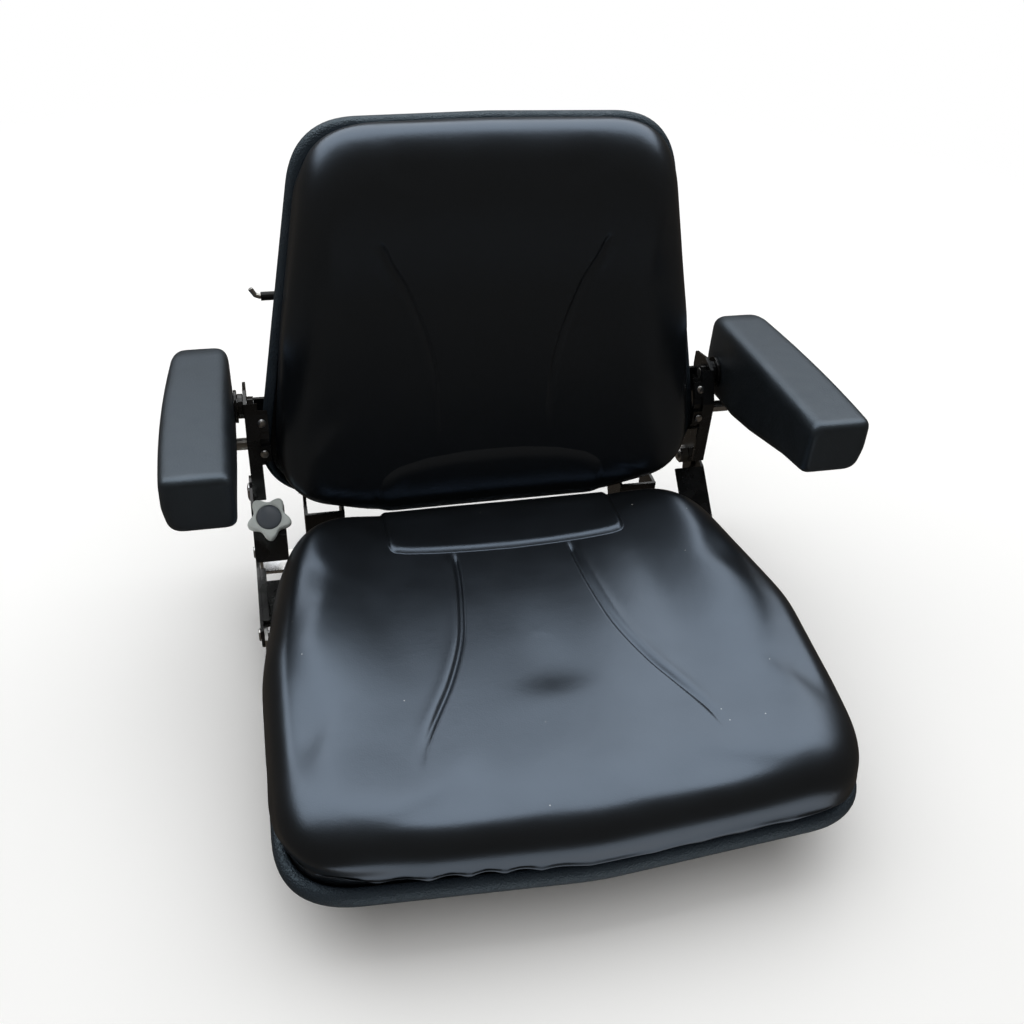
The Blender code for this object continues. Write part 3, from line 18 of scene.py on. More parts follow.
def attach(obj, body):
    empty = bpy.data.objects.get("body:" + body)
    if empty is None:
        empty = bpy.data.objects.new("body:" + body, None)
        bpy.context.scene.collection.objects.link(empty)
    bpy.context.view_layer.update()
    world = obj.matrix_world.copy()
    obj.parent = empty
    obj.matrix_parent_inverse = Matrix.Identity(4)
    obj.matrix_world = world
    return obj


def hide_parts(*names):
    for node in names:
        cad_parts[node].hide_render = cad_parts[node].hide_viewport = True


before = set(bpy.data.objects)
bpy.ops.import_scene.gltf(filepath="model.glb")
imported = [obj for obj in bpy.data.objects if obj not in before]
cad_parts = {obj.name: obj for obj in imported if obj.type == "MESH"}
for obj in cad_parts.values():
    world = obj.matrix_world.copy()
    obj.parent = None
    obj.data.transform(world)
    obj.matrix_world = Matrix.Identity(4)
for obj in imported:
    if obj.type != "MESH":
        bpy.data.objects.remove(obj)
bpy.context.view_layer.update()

bl_info = {
    "name": "Forklift seat finish",
    "version": (1, 0, 0),
    "blender": (4, 5, 0),
    "location": "3D View > Sidebar > Seat",
    "description": "Dresses the packed seat in vinyl, rubber, foam, paint and zinc",
    "category": "Object",
}

DATUM_BACK = 0.24711
DATUM_HEIGHT = 0.0540

# Seat outline and the levels of its edge
SEAT_FRONT_HALF = 0.2429
SEAT_REAR_HALF = 0.2102
SEAT_DEPTH = 0.4022
SEAT_BOW = 0.0152
SEAT_BOW_RADIUS = 0.3000
SEAT_FRONT_RADIUS = 0.0670
SEAT_REAR_RADIUS = 0.1050
SEAT_KNEE_RADIUS = 0.1200
SEAT_SIDE_KNEE = 0.50
SEAT_MIDDLE = Vector((0.0, 0.2011))
TRIM_TOP = 0.0168
FLANGE_LEVEL = 0.0100

# Backrest outline and plane
BACK_FOOT_Y = 0.4403
BACK_FOOT_Z = 0.0231
BACK_RECLINE = math.radians(8.13)
BACK_TOP_HALF = 0.1656
BACK_MIDDLE_HALF = 0.1995
BACK_MIDDLE_V = 0.2040
BACK_BOTTOM_HALF = 0.2278
BACK_CUSHION_HALF = 0.2150
BACK_BOTTOM_V = 0.0438
BACK_FLAT_HALF = 0.1150
BACK_FLAT_V = 0.0120
BACK_HEIGHT = 0.3878
BACK_CROWN = 0.0030
BACK_CROWN_RADIUS = 0.3000
BACK_TOP_RADIUS = 0.0657
BACK_SIDE_RADIUS = 0.1500
BACK_BOTTOM_RADIUS = 0.1070
BACK_MIDDLE = Vector((0.0, 0.1900))

# Covers below their fullest line: how far out from the outline, and at what level
SEAT_HEM = ((-0.0190, 0.0125), (-0.0125, 0.0150), (-0.0100, 0.0178), (-0.0078, 0.0200),
            (-0.0040, 0.0192), (-0.0030, 0.0208), (-0.0025, 0.0245))
BACK_HEM = ((-0.0300, 0.0016), (-0.0110, 0.0030), (-0.0085, 0.0082), (-0.0060, 0.0098),
            (-0.0028, 0.0090), (-0.0016, 0.0104), (-0.0006, 0.0140))
SEAT_FULLEST_OUT = -0.0022
BACK_FULLEST = (0.0002, 0.0215)
BACK_SOFTNESS = 0.0280
SEAT_CORNER_EASE = 0.0450
BACK_CORNER_EASE = 0.0100

# How the meshes are laid out
EDGING_POINTS = 260
HELD_RINGS = 6
ROLL_RINGS = 7
FACE_RINGS = 19
REFINED_WIDTH = 0.0130

# Where the sitting surface rises: spans back from the front, or out from the middle
REAR_BOLSTER_SPAN = (0.080, 0.220)
SIDE_BOLSTER_SPAN = (0.110, 0.195)
DISH_SPAN = (0.120, 0.300)
FRONT_ROLL_RISE = 0.0020
FRONT_ROLL_SPAN = (0.030, 0.110)
DIMPLE_DEPTH = 0.0024
DIMPLE_HALF = 0.0270
DIMPLE_FRONT = (0.123, 0.153)
DIMPLE_REAR = (0.155, 0.255)

# Where the leaning surface rises: spans out from the middle, and up
WING_SPAN = (0.080, 0.165)
TOP_ROLL_SPAN = (0.240, 0.340)

# Sides of the seat cover, as shares of its side fullness
RIGHT_FULLNESS = 1.4
LEFT_FULLNESS = 0.4

# Loose lower edge of the seat cover: the levels that move, and how far
HEM_TUCKED = (0.0176, 0.0188)
HEM_PLAY = (0.0210, 0.0300)
HEM_PITCH = 0.038
HEM_RADIUS = 0.25
HEM_LIFT = 0.0006
HEM_SCALLOP = 0.0014
SLACK_LIFT = 0.0018
SLACK_SCALLOP = 0.0042
CORNER_TUCK = 0.0050
CORNER_LIFT = 0.0022
CORNER_PLAY = (0.0280, 0.0480)

# Pressed channels and raised panels of the covers, as half of a mirrored pair
SEAT_CHANNEL = ((0.1250, 0.0600), (0.1190, 0.0850), (0.1120, 0.1030), (0.1010, 0.1250),
                (0.0880, 0.1500), (0.0760, 0.1790), (0.0680, 0.2050), (0.0620, 0.2390),
                (0.0580, 0.2700), (0.0560, 0.3000), (0.0555, 0.3125))
BACK_CHANNEL = ((0.0540, 0.0930), (0.0540, 0.1110), (0.0550, 0.1430), (0.0580, 0.1750),
                (0.0650, 0.2050), (0.0750, 0.2340), (0.0840, 0.2560), (0.0950, 0.2760),
                (0.1050, 0.3000))
PLATFORM_FRONT = ((0.0, 0.3095), (0.0400, 0.3105), (0.0700, 0.3125), (0.1000, 0.3160),
                  (0.1170, 0.3205))
LUMBAR_TOP = ((0.0, 0.0845), (0.0300, 0.0840), (0.0650, 0.0800), (0.0950, 0.0725),
              (0.1110, 0.0640), (0.1160, 0.0560))
PANEL_HALF = 0.1160
PLATFORM_SIDE_STEEPER = 1.8
PLATFORM_CORNER = 0.0120
PLATFORM_EDGE = 0.0085
LUMBAR_CORNER = 0.0160
LUMBAR_EDGE = 0.0140
LUMBAR_SHARE = 0.9
BACK_CHANNEL_SHARE = 0.6

# The photograph's camera, from the datum
CAMERA_PLACE = Vector((-0.2106, -0.4662, 0.7545))
CAMERA_TURN = math.radians(15.0)
CAMERA_PITCH = math.radians(38.76)
CAMERA_ROLL = math.radians(3.98)
CAMERA_FOCUS = 1110.64
PHOTO_WIDTH = 1024
SENSOR_WIDTH = 36.0

# Stage
FLOOR_SIZE = 14.0
FLOOR_FADE = (0.75, 1.70)
LAMP_COLOUR = (0.97, 0.99, 1.0)
YARD_COLOUR = (1.0, 0.84, 0.68)
YARD_GLOW = 0.065


def rgb(name, text, colour):
    """A colour setting."""
    return FloatVectorProperty(name=name, description=text, subtype="COLOR", size=3,
                               default=colour, min=0.0, max=1.0)


def length(name, text, value):
    """A length setting, in metres."""
    return FloatProperty(name=name, description=text, default=value, unit="LENGTH")


class SeatFinishColours(bpy.types.PropertyGroup):
    vinyl: rgb("Vinyl", "Cover of both cushions", (0.0035, 0.0037, 0.0040))
    trim: rgb("Edge trim", "Rubber edging round both pans", (0.014, 0.019, 0.026))
    foam: rgb("Armrest foam", "Skin of the armrest pads", (0.010, 0.012, 0.014))
    paint: rgb("Paint", "Pressed plates and brackets", (0.0025, 0.0028, 0.0032))
    zinc: rgb("Zinc", "Plated bolts, washers and bars", (0.62, 0.63, 0.65))
    knob: rgb("Knob", "Star knob of the rake", (0.62, 0.67, 0.65))
    cap: rgb("Knob cap", "Domed cap in the knob", (0.100, 0.115, 0.135))
    floor: rgb("Floor", "Floor under the seat", (0.96, 0.95, 0.94))


class SeatCoverSizes(bpy.types.PropertyGroup):
    around: IntProperty(name="Points round", description="Points round a cover before it is "
                        "subdivided", default=120, min=48, max=160)
    height: length("Sitting height", "Height of the sitting surface over the trim", 0.0600)
    belly: length("Belly", "Level of the seat cover's fullest line", 0.0325)
    bolster: length("Side bolster", "Rise of the seat at its sides", 0.0075)
    rear_bolster: length("Rear bolster", "Rise of the seat at its rear corners", 0.0150)
    dish: length("Dish", "Rise of the sitting surface toward the backrest", 0.0030)
    softness: length("Edge roll", "Reach of the rolled edge of the seat cover", 0.0260)
    side_swell: length("Side fullness", "Reach of the seat cover over its side edging", 0.0050)
    channel_depth: length("Channel depth", "Depth of the pressed channels", 0.0028)
    channel_half: length("Channel half width", "Half the width of the channels", 0.0032)
    panel_rise: length("Panel rise", "Height of the raised panels", 0.0031)
    thickness: length("Backrest thickness", "Front of the backrest over its rim plane", 0.0440)
    wings: length("Backrest wings", "Rise of the backrest at its sides", 0.0080)
    top_roll: length("Backrest top roll", "Rise of the backrest at its top", 0.0060)
    top_bulge: length("Backrest top bulge", "Rise of the cover over its top edging", 0.0055)
    swell: length("Swell", "Farthest that the pressed foam swells", 0.0025)


class SeatHardwareSizes(bpy.types.PropertyGroup):
    trim_width: length("Trim width", "Width of the edge trim", 0.0100)
    trim_grain: length("Trim grain", "Pitch of the trim's fine grain", 0.0015)
    knob_radius: length("Knob radius", "Tip radius of the star knob", 0.0220)
    knob_waist: length("Knob waist", "Radius between the knob's lobes", 0.0155)
    knob_lobes: IntProperty(name="Knob lobes", description="Lobes of the star knob", default=5)
    edge_break: length("Edge break", "Width of the broken edges of plates", 0.0005)


class SeatFinishSettings(bpy.types.PropertyGroup):
    colours: PointerProperty(type=SeatFinishColours)
    covers: PointerProperty(type=SeatCoverSizes)
    hardware: PointerProperty(type=SeatHardwareSizes)


# Outlines

def soft_corners(points, radii, steps=14):
    """A polygon whose corners are eased with a curve that leaves each side at its radius."""
    out = []
    for k, corner in enumerate(points):
        corner = Vector(corner)
        before = Vector(points[k - 1]) - corner
        after = Vector(points[(k + 1) % len(points)]) - corner
        reach = min(radii[k] / math.tan(before.angle(after) / 2),
                    0.45 * before.length, 0.45 * after.length)
        start = corner + before.normalized() * reach
        end = corner + after.normalized() * reach
        for i in range(steps):
            t = i / (steps - 1)
            out.append(start * (1 - t) ** 2 + corner * 2 * t * (1 - t) + end * t ** 2)
    return out


def even_points(outline, count):
    """The outline again, as count points an equal way apart."""
    sides = [(outline[(k + 1) % len(outline)] - p).length for k, p in enumerate(outline)]
    step = sum(sides) / count
    out = []
    walked = 0.0
    k = 0
    for i in range(count):
        target = i * step
        while walked + sides[k] < target:
            walked += sides[k]
            k += 1
        t = (target - walked) / sides[k]
        out.append(outline[k].lerp(outline[(k + 1) % len(outline)], t))
    return out


def seat_outline(grow, count, ease=0.0):
    """The seat's outline, grown outward; ease makes its front corners rounder."""
    front = SEAT_FRONT_HALF + grow
    rear = SEAT_REAR_HALF + grow
    knee = SEAT_SIDE_KNEE * SEAT_DEPTH
    corners = [(0.0, -SEAT_BOW - grow), (front, -grow), (front, knee), (rear, SEAT_DEPTH + grow),
               (-rear, SEAT_DEPTH + grow), (-front, knee), (-front, -grow)]
    front_radius = SEAT_FRONT_RADIUS + grow + ease
    rear_radius = SEAT_REAR_RADIUS + grow
    radii = [SEAT_BOW_RADIUS, front_radius, SEAT_KNEE_RADIUS, rear_radius, rear_radius,
             SEAT_KNEE_RADIUS, front_radius]
    return even_points(soft_corners(corners, radii), count)


def back_outline(grow, count, bottom_half=BACK_BOTTOM_HALF, ease=0.0):
    """The backrest's outline in its plane; ease makes its top corners rounder."""
    top = BACK_HEIGHT + grow
    corners = [(0.0, top + BACK_CROWN), (BACK_TOP_HALF + grow, top),
               (BACK_MIDDLE_HALF + grow, BACK_MIDDLE_V), (bottom_half + grow, BACK_BOTTOM_V),
               (BACK_FLAT_HALF, BACK_FLAT_V - grow), (-BACK_FLAT_HALF, BACK_FLAT_V - grow),
               (-bottom_half - grow, BACK_BOTTOM_V), (-BACK_MIDDLE_HALF - grow, BACK_MIDDLE_V),
               (-BACK_TOP_HALF - grow, top)]
    top_radius = BACK_TOP_RADIUS + ease
    radii = [BACK_CROWN_RADIUS, top_radius, BACK_SIDE_RADIUS, BACK_BOTTOM_RADIUS,
             BACK_SIDE_RADIUS, BACK_SIDE_RADIUS, BACK_BOTTOM_RADIUS, BACK_SIDE_RADIUS, top_radius]
    return even_points(soft_corners(corners, radii), count)


def back_point(u, v, w):
    """A point of the backrest's plane, from the datum."""
    sine, cosine = math.sin(BACK_RECLINE), math.cos(BACK_RECLINE)
    return Vector((u, BACK_FOOT_Y + v * sine - w * cosine, BACK_FOOT_Z + v * cosine + w * sine))


def to_frame(point):
    """A point of the datum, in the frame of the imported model."""
    return Vector((point[0], point[1] - DATUM_BACK, point[2] + DATUM_HEIGHT))


def smooth(value, low, high):
    """0 up to low and 1 from high on, with an easy rise between them."""
    t = np.clip((np.asarray(value, float) - low) / (high - low), 0.0, 1.0)
    return t * t * (3 - 2 * t)


def fade(value, low, high):
    """1 up to low and 0 from high on, with an easy fall between them."""
    return 1 - smooth(value, low, high)


# Meshes

def add_band(bm, low, high):
    """Faces between two rings of equal count."""
    for i in range(len(low)):
        j = (i + 1) % len(low)
        bm.faces.new((low[i], low[j], high[j], high[i]))


def shell_object(name, rings, place):
    """A closed body through rings of equal count, closed by fans at its two ends."""
    bm = bmesh.new()
    rows = [[bm.verts.new(to_frame(place(*point))) for point in ring] for ring in rings]
    count = len(rows[0])
    for low, high in zip(rows, rows[1:]):
        add_band(bm, low, high)
    for row, turned in ((rows[0], True), (rows[-1], False)):
        middle = bm.verts.new(sum((v.co for v in row), Vector()) / count)
        for i in range(count):
            j = (i + 1) % count
            bm.faces.new((middle, row[j], row[i]) if turned else (middle, row[i], row[j]))
    return object_from(name, bm)


def loop_object(name, stations):
    """A section swept round a closed path: stations are the section's points at each step."""
    bm = bmesh.new()
    rows = [[bm.verts.new(to_frame(point)) for point in station] for station in stations]
    for k, low in enumerate(rows):
        add_band(bm, low, rows[(k + 1) % len(rows)])
    return object_from(name, bm)


def object_from(name, bm):
    """A smooth shaded object of a finished bmesh, linked to the scene."""
    bmesh.ops.recalc_face_normals(bm, faces=bm.faces)
    mesh = bpy.data.meshes.new(name)
    bm.to_mesh(mesh)
    bm.free()
    mesh.shade_smooth()
    item = bpy.data.objects.new(name, mesh)
    bpy.context.collection.objects.link(item)
    return item


def bake_modifiers(item):
    """The object's mesh becomes what its modifiers make of it, and they go."""
    graph = bpy.context.evaluated_depsgraph_get()
    result = bpy.data.meshes.new_from_object(item.evaluated_get(graph))
    old = item.data
    item.modifiers.clear()
    item.data = result
    bpy.data.meshes.remove(old)
    item.data.name = item.name
    item.data.shade_smooth()


def refine(item, levels):
    """Catmull-Clark subdivision, applied."""
    modifier = item.modifiers.new("refine", "SUBSURF")
    modifier.levels = levels
    modifier.render_levels = levels
    bake_modifiers(item)


def read_points(mesh):
    flat = np.empty(len(mesh.vertices) * 3)
    mesh.vertices.foreach_get("co", flat)
    return flat.reshape(-1, 3)


def read_normals(mesh):
    flat = np.empty(len(mesh.vertices) * 3)
    mesh.vertex_normals.foreach_get("vector", flat)
    return flat.reshape(-1, 3)


def write_points(mesh, points):
    mesh.vertices.foreach_set("co", np.ascontiguousarray(points).ravel())
    mesh.update()


def swell_foam(item, held, farthest, pressure=4.0, frames=20):
    """Foam pressed into its cover: a short cloth run, no vertex moving past farthest."""
    start = read_points(item.data)
    group = item.vertex_groups.new(name="held")
    group.add(held, 1.0, "REPLACE")
    modifier = item.modifiers.new("cover", "CLOTH")
    cloth = modifier.settings
    cloth.vertex_group_mass = group.name
    cloth.quality = 6
    cloth.use_pressure = True
    cloth.uniform_pressure_force = pressure
    cloth.tension_stiffness = 20.0
    cloth.compression_stiffness = 20.0
    cloth.bending_stiffness = 2.0
    cloth.effector_weights.gravity = 0.0
    modifier.collision_settings.use_collision = False
    modifier.point_cache.frame_start = 1
    modifier.point_cache.frame_end = frames
    scene = bpy.context.scene
    for step in range(1, frames + 1):
        scene.frame_set(step)
    graph = bpy.context.evaluated_depsgraph_get()
    settled = read_points(item.evaluated_get(graph).data)
    item.modifiers.clear()
    item.vertex_groups.clear()
    scene.frame_set(1)
    move = settled - start
    reach = np.linalg.norm(move, axis=1, keepdims=True)
    write_points(item.data, start + move * np.minimum(1.0, farthest / np.maximum(reach, 1e-9)))


def ride_as(item, body, slot, *nodes):
    """The piece stands for these nodes and moves with that body; slot is not used."""
    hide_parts(*nodes)
    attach(item, body)


# Covers: pressed channels, raised panels and the wavy lower hem

def route_distance(points, route):
    """Signed distance of each point to a polyline, and how far along the line it is, 0 to 1."""
    route = np.asarray(route)
    best = np.full(len(points), 1e9)
    along = np.zeros(len(points))
    lengths = np.linalg.norm(np.diff(route, axis=0), axis=1)
    walked = np.concatenate([[0.0], np.cumsum(lengths)])
    for k in range(len(route) - 1):
        a, b = route[k], route[k + 1]
        t = np.clip(((points - a) @ (b - a)) / lengths[k] ** 2, 0.0, 1.0)
        offset = points - (a + t[:, None] * (b - a))
        reach = np.linalg.norm(offset, axis=1)
        turned = (b - a)[0] * offset[:, 1] - (b - a)[1] * offset[:, 0]
        reach *= np.where(turned > 0.0, -1.0, 1.0)
        nearer = np.abs(reach) < np.abs(best)
        best[nearer] = reach[nearer]
        along[nearer] = (walked[k] + t[nearer] * lengths[k]) / walked[-1]
    return best, along


def rounded_route(points, per_step=6):
    """A smooth line through given points."""
    points = [Vector(p) for p in points]
    out = []
    for k in range(len(points) - 1):
        before, a = points[max(k - 1, 0)], points[k]
        b, after = points[k + 1], points[min(k + 2, len(points) - 1)]
        for i in range(per_step):
            t = i / per_step
            out.append((a * 2 + (b - before) * t + (before * 2 - a * 5 + b * 4 - after) * t ** 2
                        + (a * 3 - before - b * 3 + after) * t ** 3) / 2)
    out.append(points[-1])
    return np.array([(p.x, p.y) for p in out])


def pressed_channels(flat, half_route, half_width, depth):
    """How far the two mirrored channels press each point in: steep inside, easy outside."""
    route = rounded_route(half_route)
    folded = np.column_stack([np.abs(flat[:, 0]), flat[:, 1]])
    reach, along = route_distance(folded, route)
    taper = smooth(along, 0.0, 0.30) * fade(along, 0.94, 1.0)
    wall = np.where(reach < 0.0, half_width * 0.55, half_width)
    groove = np.exp(-(reach / wall) ** 2)
    fold = 0.22 * np.exp(-((reach - half_width * 2.3) / (half_width * 1.5)) ** 2)
    return depth * taper * (groove - fold)


def raised_edge(inside, rise, width):
    """Height of a raised panel: steep at its edge, easing to level over the width."""
    return rise * (1 - (1 - np.clip(inside / width, 0.0, 1.0)) ** 2)


def nearer_edge(first, second, ease):
    """The lesser of two distances, with an eased corner where they are alike."""
    share = np.clip(0.5 + 0.5 * (second - first) / ease, 0.0, 1.0)
    return second + (first - second) * share - ease * share * (1 - share)


def refine_near(item, flat, near, lines):
    """Two cuts across the mesh's edges that lie close to the pressed lines."""
    folded = np.column_stack([np.abs(flat[:, 0]), flat[:, 1]])
    close = np.zeros(len(flat), bool)
    for line in lines:
        close |= np.abs(route_distance(folded, line)[0]) < REFINED_WIDTH
    close &= near
    bm = bmesh.new()
    bm.from_mesh(item.data)
    bm.verts.ensure_lookup_table()
    edges = [e for e in bm.edges if close[e.verts[0].index] and close[e.verts[1].index]]
    bmesh.ops.subdivide_edges(bm, edges=edges, cuts=2, use_grid_fill=True)
    bm.to_mesh(item.data)
    bm.free()
    item.data.shade_smooth()


def spread_noise(points, scale, seed):
    """Low, even bumps of the foam under the cover."""
    shift = Vector((seed, seed * 0.7, seed * 1.3))
    return np.array([noise.noise(Vector(p) * scale + shift) for p in points])


def seat_surface(x, y, sizes):
    """Height of the sitting surface."""
    bolster = sizes.bolster + (sizes.rear_bolster - sizes.bolster) * smooth(y, *REAR_BOLSTER_SPAN)
    bolster *= smooth(np.abs(x), *SIDE_BOLSTER_SPAN)
    rise = sizes.dish * smooth(y, *DISH_SPAN) + FRONT_ROLL_RISE * fade(y, *FRONT_ROLL_SPAN)
    dimple = DIMPLE_DEPTH * smooth(y, *DIMPLE_FRONT) * fade(y, *DIMPLE_REAR)
    return sizes.height + bolster + rise - dimple * np.exp(-(x / DIMPLE_HALF) ** 2)


def back_surface(u, v, sizes):
    """How far the leaning surface stands forward of the rim plane."""
    wings = sizes.wings * smooth(np.abs(u), *WING_SPAN)
    return sizes.thickness + wings + sizes.top_roll * smooth(v, *TOP_ROLL_SPAN)


def rolled_edge(outline_at, start, reach, surface, ease):
    """Rings from the fullest line up to the face, along a quarter of an ellipse."""
    grow, level = start
    rings = []
    for k in range(1, ROLL_RINGS + 1):
        turn = math.pi / 2 * k / ROLL_RINGS
        ring = []
        inward = 1 - math.cos(turn)
        for p in outline_at(grow - reach * inward, ease * inward):
            rise = level + (float(surface(p.x, p.y)) - level) * math.sin(turn) ** 0.9
            ring.append((p.x, p.y, rise))
        rings.append(ring)
    return rings


def face_rings(rim, middle, surface):
    """Rings from the rim of a face in to its middle."""
    rings = []
    for k in range(1, FACE_RINGS + 1):
        part = 1 - k / (FACE_RINGS + 1)
        ring = []
        for p in rim:
            a, b = middle.x + (p[0] - middle.x) * part, middle.y + (p[1] - middle.y) * part
            ring.append((a, b, float(surface(a, b))))
        rings.append(ring)
    return rings


def hem_waves(flat, middle, pitch, seed):
    """Scallops of the cover's lower edge, 0 at the cusps and up to 1 between them."""
    angle = np.arctan2(flat[:, 1] - middle.y, flat[:, 0] - middle.x)
    swing = 1.2 * np.sin(angle * 3.0 + seed) + 0.8 * np.sin(angle * 7.0 + seed * 2.1)
    turns = round(2 * math.pi * HEM_RADIUS / pitch)
    return np.abs(np.sin(angle * turns / 2 + swing))


class SEAT_OT_seat_cover(bpy.types.Operator):
    """Vinyl cover of the seat cushion, over foam"""
    bl_idname = "seat_finish.seat_cover"
    bl_label = "Seat cover"

    def execute(self, context):
        settings = context.scene.seat_finish
        sizes = settings.covers
        count = sizes.around

        def outline_at(grow, ease=0.0):
            return seat_outline(grow, count, ease)

        def surface(x, y):
            return seat_surface(x, y, sizes)

        fullest = (SEAT_FULLEST_OUT, sizes.belly)
        rings = [[(p.x, p.y, level) for p in outline_at(grow)]
                 for grow, level in SEAT_HEM + (fullest,)]
        rings += rolled_edge(outline_at, fullest, sizes.softness, surface, SEAT_CORNER_EASE)
        rings += face_rings(rings[-1], SEAT_MIDDLE, surface)
        rings = [[self.full_side(*point, sizes.side_swell) for point in ring] for ring in rings]
        cover = shell_object("seat_cover", rings, lambda x, y, z: (x, y, z))
        swell_foam(cover, list(range(count * HELD_RINGS)), sizes.swell)
        refine(cover, 2)
        self.press(cover, sizes)
        cover.data.materials.append(vinyl("seat_vinyl", settings.colours.vinyl, dust=1.0))
        ride_as(cover, "seat", "black_vinyl", "seat_cushion")
        return {"FINISHED"}

    def full_side(self, x, y, z, swell):
        """The sides stand out over the edging beside the hips, the right one farther."""
        share = float(smooth(y, 0.010, 0.120) * fade(y, 0.180, 0.340)
                      * smooth(z, 0.0200, 0.0320) * smooth(abs(x), 0.060, 0.220))
        out = swell * (RIGHT_FULLNESS if x > 0 else LEFT_FULLNESS)
        return (x + math.copysign(out * share, x), y, z)

    def press(self, cover, sizes):
        """The mesh is refined near the pressed lines, and then face and hem are moved."""
        datum = np.array(to_frame((0, 0, 0)))
        local = read_points(cover.data) - datum
        panel_side = ((PANEL_HALF, 0.315), (PANEL_HALF, 0.400))
        lines = (rounded_route(SEAT_CHANNEL), PLATFORM_FRONT, panel_side)
        refine_near(cover, local[:, :2], local[:, 2] > 0.035, lines)
        points = read_points(cover.data)
        normals = read_normals(cover.data)
        local = points - datum
        points += normals * self.face_move(local, normals, sizes)[:, None]
        write_points(cover.data, points + self.hem_move(local))

    def face_move(self, local, normals, sizes):
        """Channels, the rear panel and soft bumps, as distances along the normals."""
        flat = local[:, :2]
        on_top = smooth(normals[:, 2], 0.45, 0.75) * smooth(local[:, 2], 0.030, 0.045)
        move = -pressed_channels(flat, SEAT_CHANNEL, sizes.channel_half, sizes.channel_depth)
        behind = flat[:, 1] - np.interp(np.abs(flat[:, 0]), *np.transpose(PLATFORM_FRONT))
        within = (PANEL_HALF - np.abs(flat[:, 0])) * PLATFORM_SIDE_STEEPER
        inside = nearer_edge(behind, within, PLATFORM_CORNER)
        move += raised_edge(inside, sizes.panel_rise, PLATFORM_EDGE)
        move += spread_noise(local, 9.0, 3.0) * 0.0005 + spread_noise(local, 34.0, 5.0) * 0.0001
        return move * on_top

    def hem_move(self, local):
        """The lower edge stands up in scallops; at its left front corner it is drawn in."""
        x, y, z = local.T
        tucked = smooth(z, *HEM_TUCKED)
        waves = hem_waves(local[:, :2], SEAT_MIDDLE, HEM_PITCH, 0.6)
        slack = fade(x, -0.100, 0.020) * fade(y, 0.040, 0.100) + 0.5 * smooth(x, 0.120, 0.180)
        corner = smooth(-x, 0.130, 0.205) * fade(y, 0.015, 0.085)
        lift = HEM_LIFT + SLACK_LIFT * slack + (HEM_SCALLOP + SLACK_SCALLOP * slack) * waves
        rise = tucked * fade(z, *HEM_PLAY) * (lift + CORNER_LIFT * corner)
        inward = np.array(SEAT_MIDDLE) - local[:, :2]
        inward /= np.linalg.norm(inward, axis=1, keepdims=True)
        draw = CORNER_TUCK * corner * tucked * fade(z, *CORNER_PLAY)
        return np.column_stack([inward * draw[:, None], rise])


class SEAT_OT_back_cover(bpy.types.Operator):
    """Vinyl cover of the backrest cushion, over foam"""
    bl_idname = "seat_finish.back_cover"
    bl_label = "Backrest cover"

    def execute(self, context):
        settings = context.scene.seat_finish
        sizes = settings.covers
        count = sizes.around

        def outline_at(grow, ease=0.0):
            return back_outline(grow, count, BACK_CUSHION_HALF, ease)

        def surface(u, v):
            return back_surface(u, v, sizes)

        rings = [[(p.x, p.y, forward) for p in outline_at(grow)]
                 for grow, forward in BACK_HEM + (BACK_FULLEST,)]
        rings += rolled_edge(outline_at, BACK_FULLEST, BACK_SOFTNESS, surface, BACK_CORNER_EASE)
        rings = [[self.top_roll(*point, sizes.top_bulge) for point in ring] for ring in rings]
        rings += face_rings(rings[-1], BACK_MIDDLE, surface)
        cover = shell_object("back_cover", rings, back_point)
        swell_foam(cover, list(range(count * HELD_RINGS)), sizes.swell)
        refine(cover, 2)
        self.press(cover, sizes)
        cover.data.materials.append(vinyl("back_vinyl", settings.colours.vinyl, dust=0.3))
        ride_as(cover, "backrest", "black_vinyl", "back_cushion")
        return {"FINISHED"}

    def top_roll(self, u, v, forward, bulge):
        """The cover's top stands up over its edging, most a third of the way forward."""
        share = float(smooth(v, 0.330, 0.380) * smooth(forward, 0.0085, 0.0200)
                      * fade(forward, 0.0260, 0.0480))
        return (u, v + bulge * share, forward)

    def press(self, cover, sizes):
        """Channels, the lumbar panel and soft bumps of the leaning surface."""
        sine, cosine = math.sin(BACK_RECLINE), math.cos(BACK_RECLINE)
        turned = np.array(((1, 0, 0), (0, sine, -cosine), (0, cosine, sine)))
        datum = np.array(to_frame((0, BACK_FOOT_Y, BACK_FOOT_Z)))
        local = (read_points(cover.data) - datum) @ turned
        refine_near(cover, local[:, :2], local[:, 2] > 0.025,
                    (rounded_route(BACK_CHANNEL), LUMBAR_TOP))
        points = read_points(cover.data)
        normals = read_normals(cover.data)
        local = (points - datum) @ turned
        flat, forward = local[:, :2], local[:, 2]
        facing = -normals[:, 1] * cosine + normals[:, 2] * sine
        on_face = smooth(facing, 0.45, 0.75) * smooth(forward, 0.022, 0.034)
        move = -pressed_channels(flat, BACK_CHANNEL, sizes.channel_half,
                                 sizes.channel_depth * BACK_CHANNEL_SHARE)
        below = np.interp(np.abs(flat[:, 0]), *np.transpose(LUMBAR_TOP)) - flat[:, 1]
        inside = nearer_edge(below, PANEL_HALF - np.abs(flat[:, 0]), LUMBAR_CORNER)
        move += raised_edge(inside, sizes.panel_rise * LUMBAR_SHARE, LUMBAR_EDGE)
        move += spread_noise(local, 11.0, 8.0) * 0.0006 + spread_noise(local, 34.0, 2.0) * 0.0001
        write_points(cover.data, points + normals * (move * on_face)[:, None])


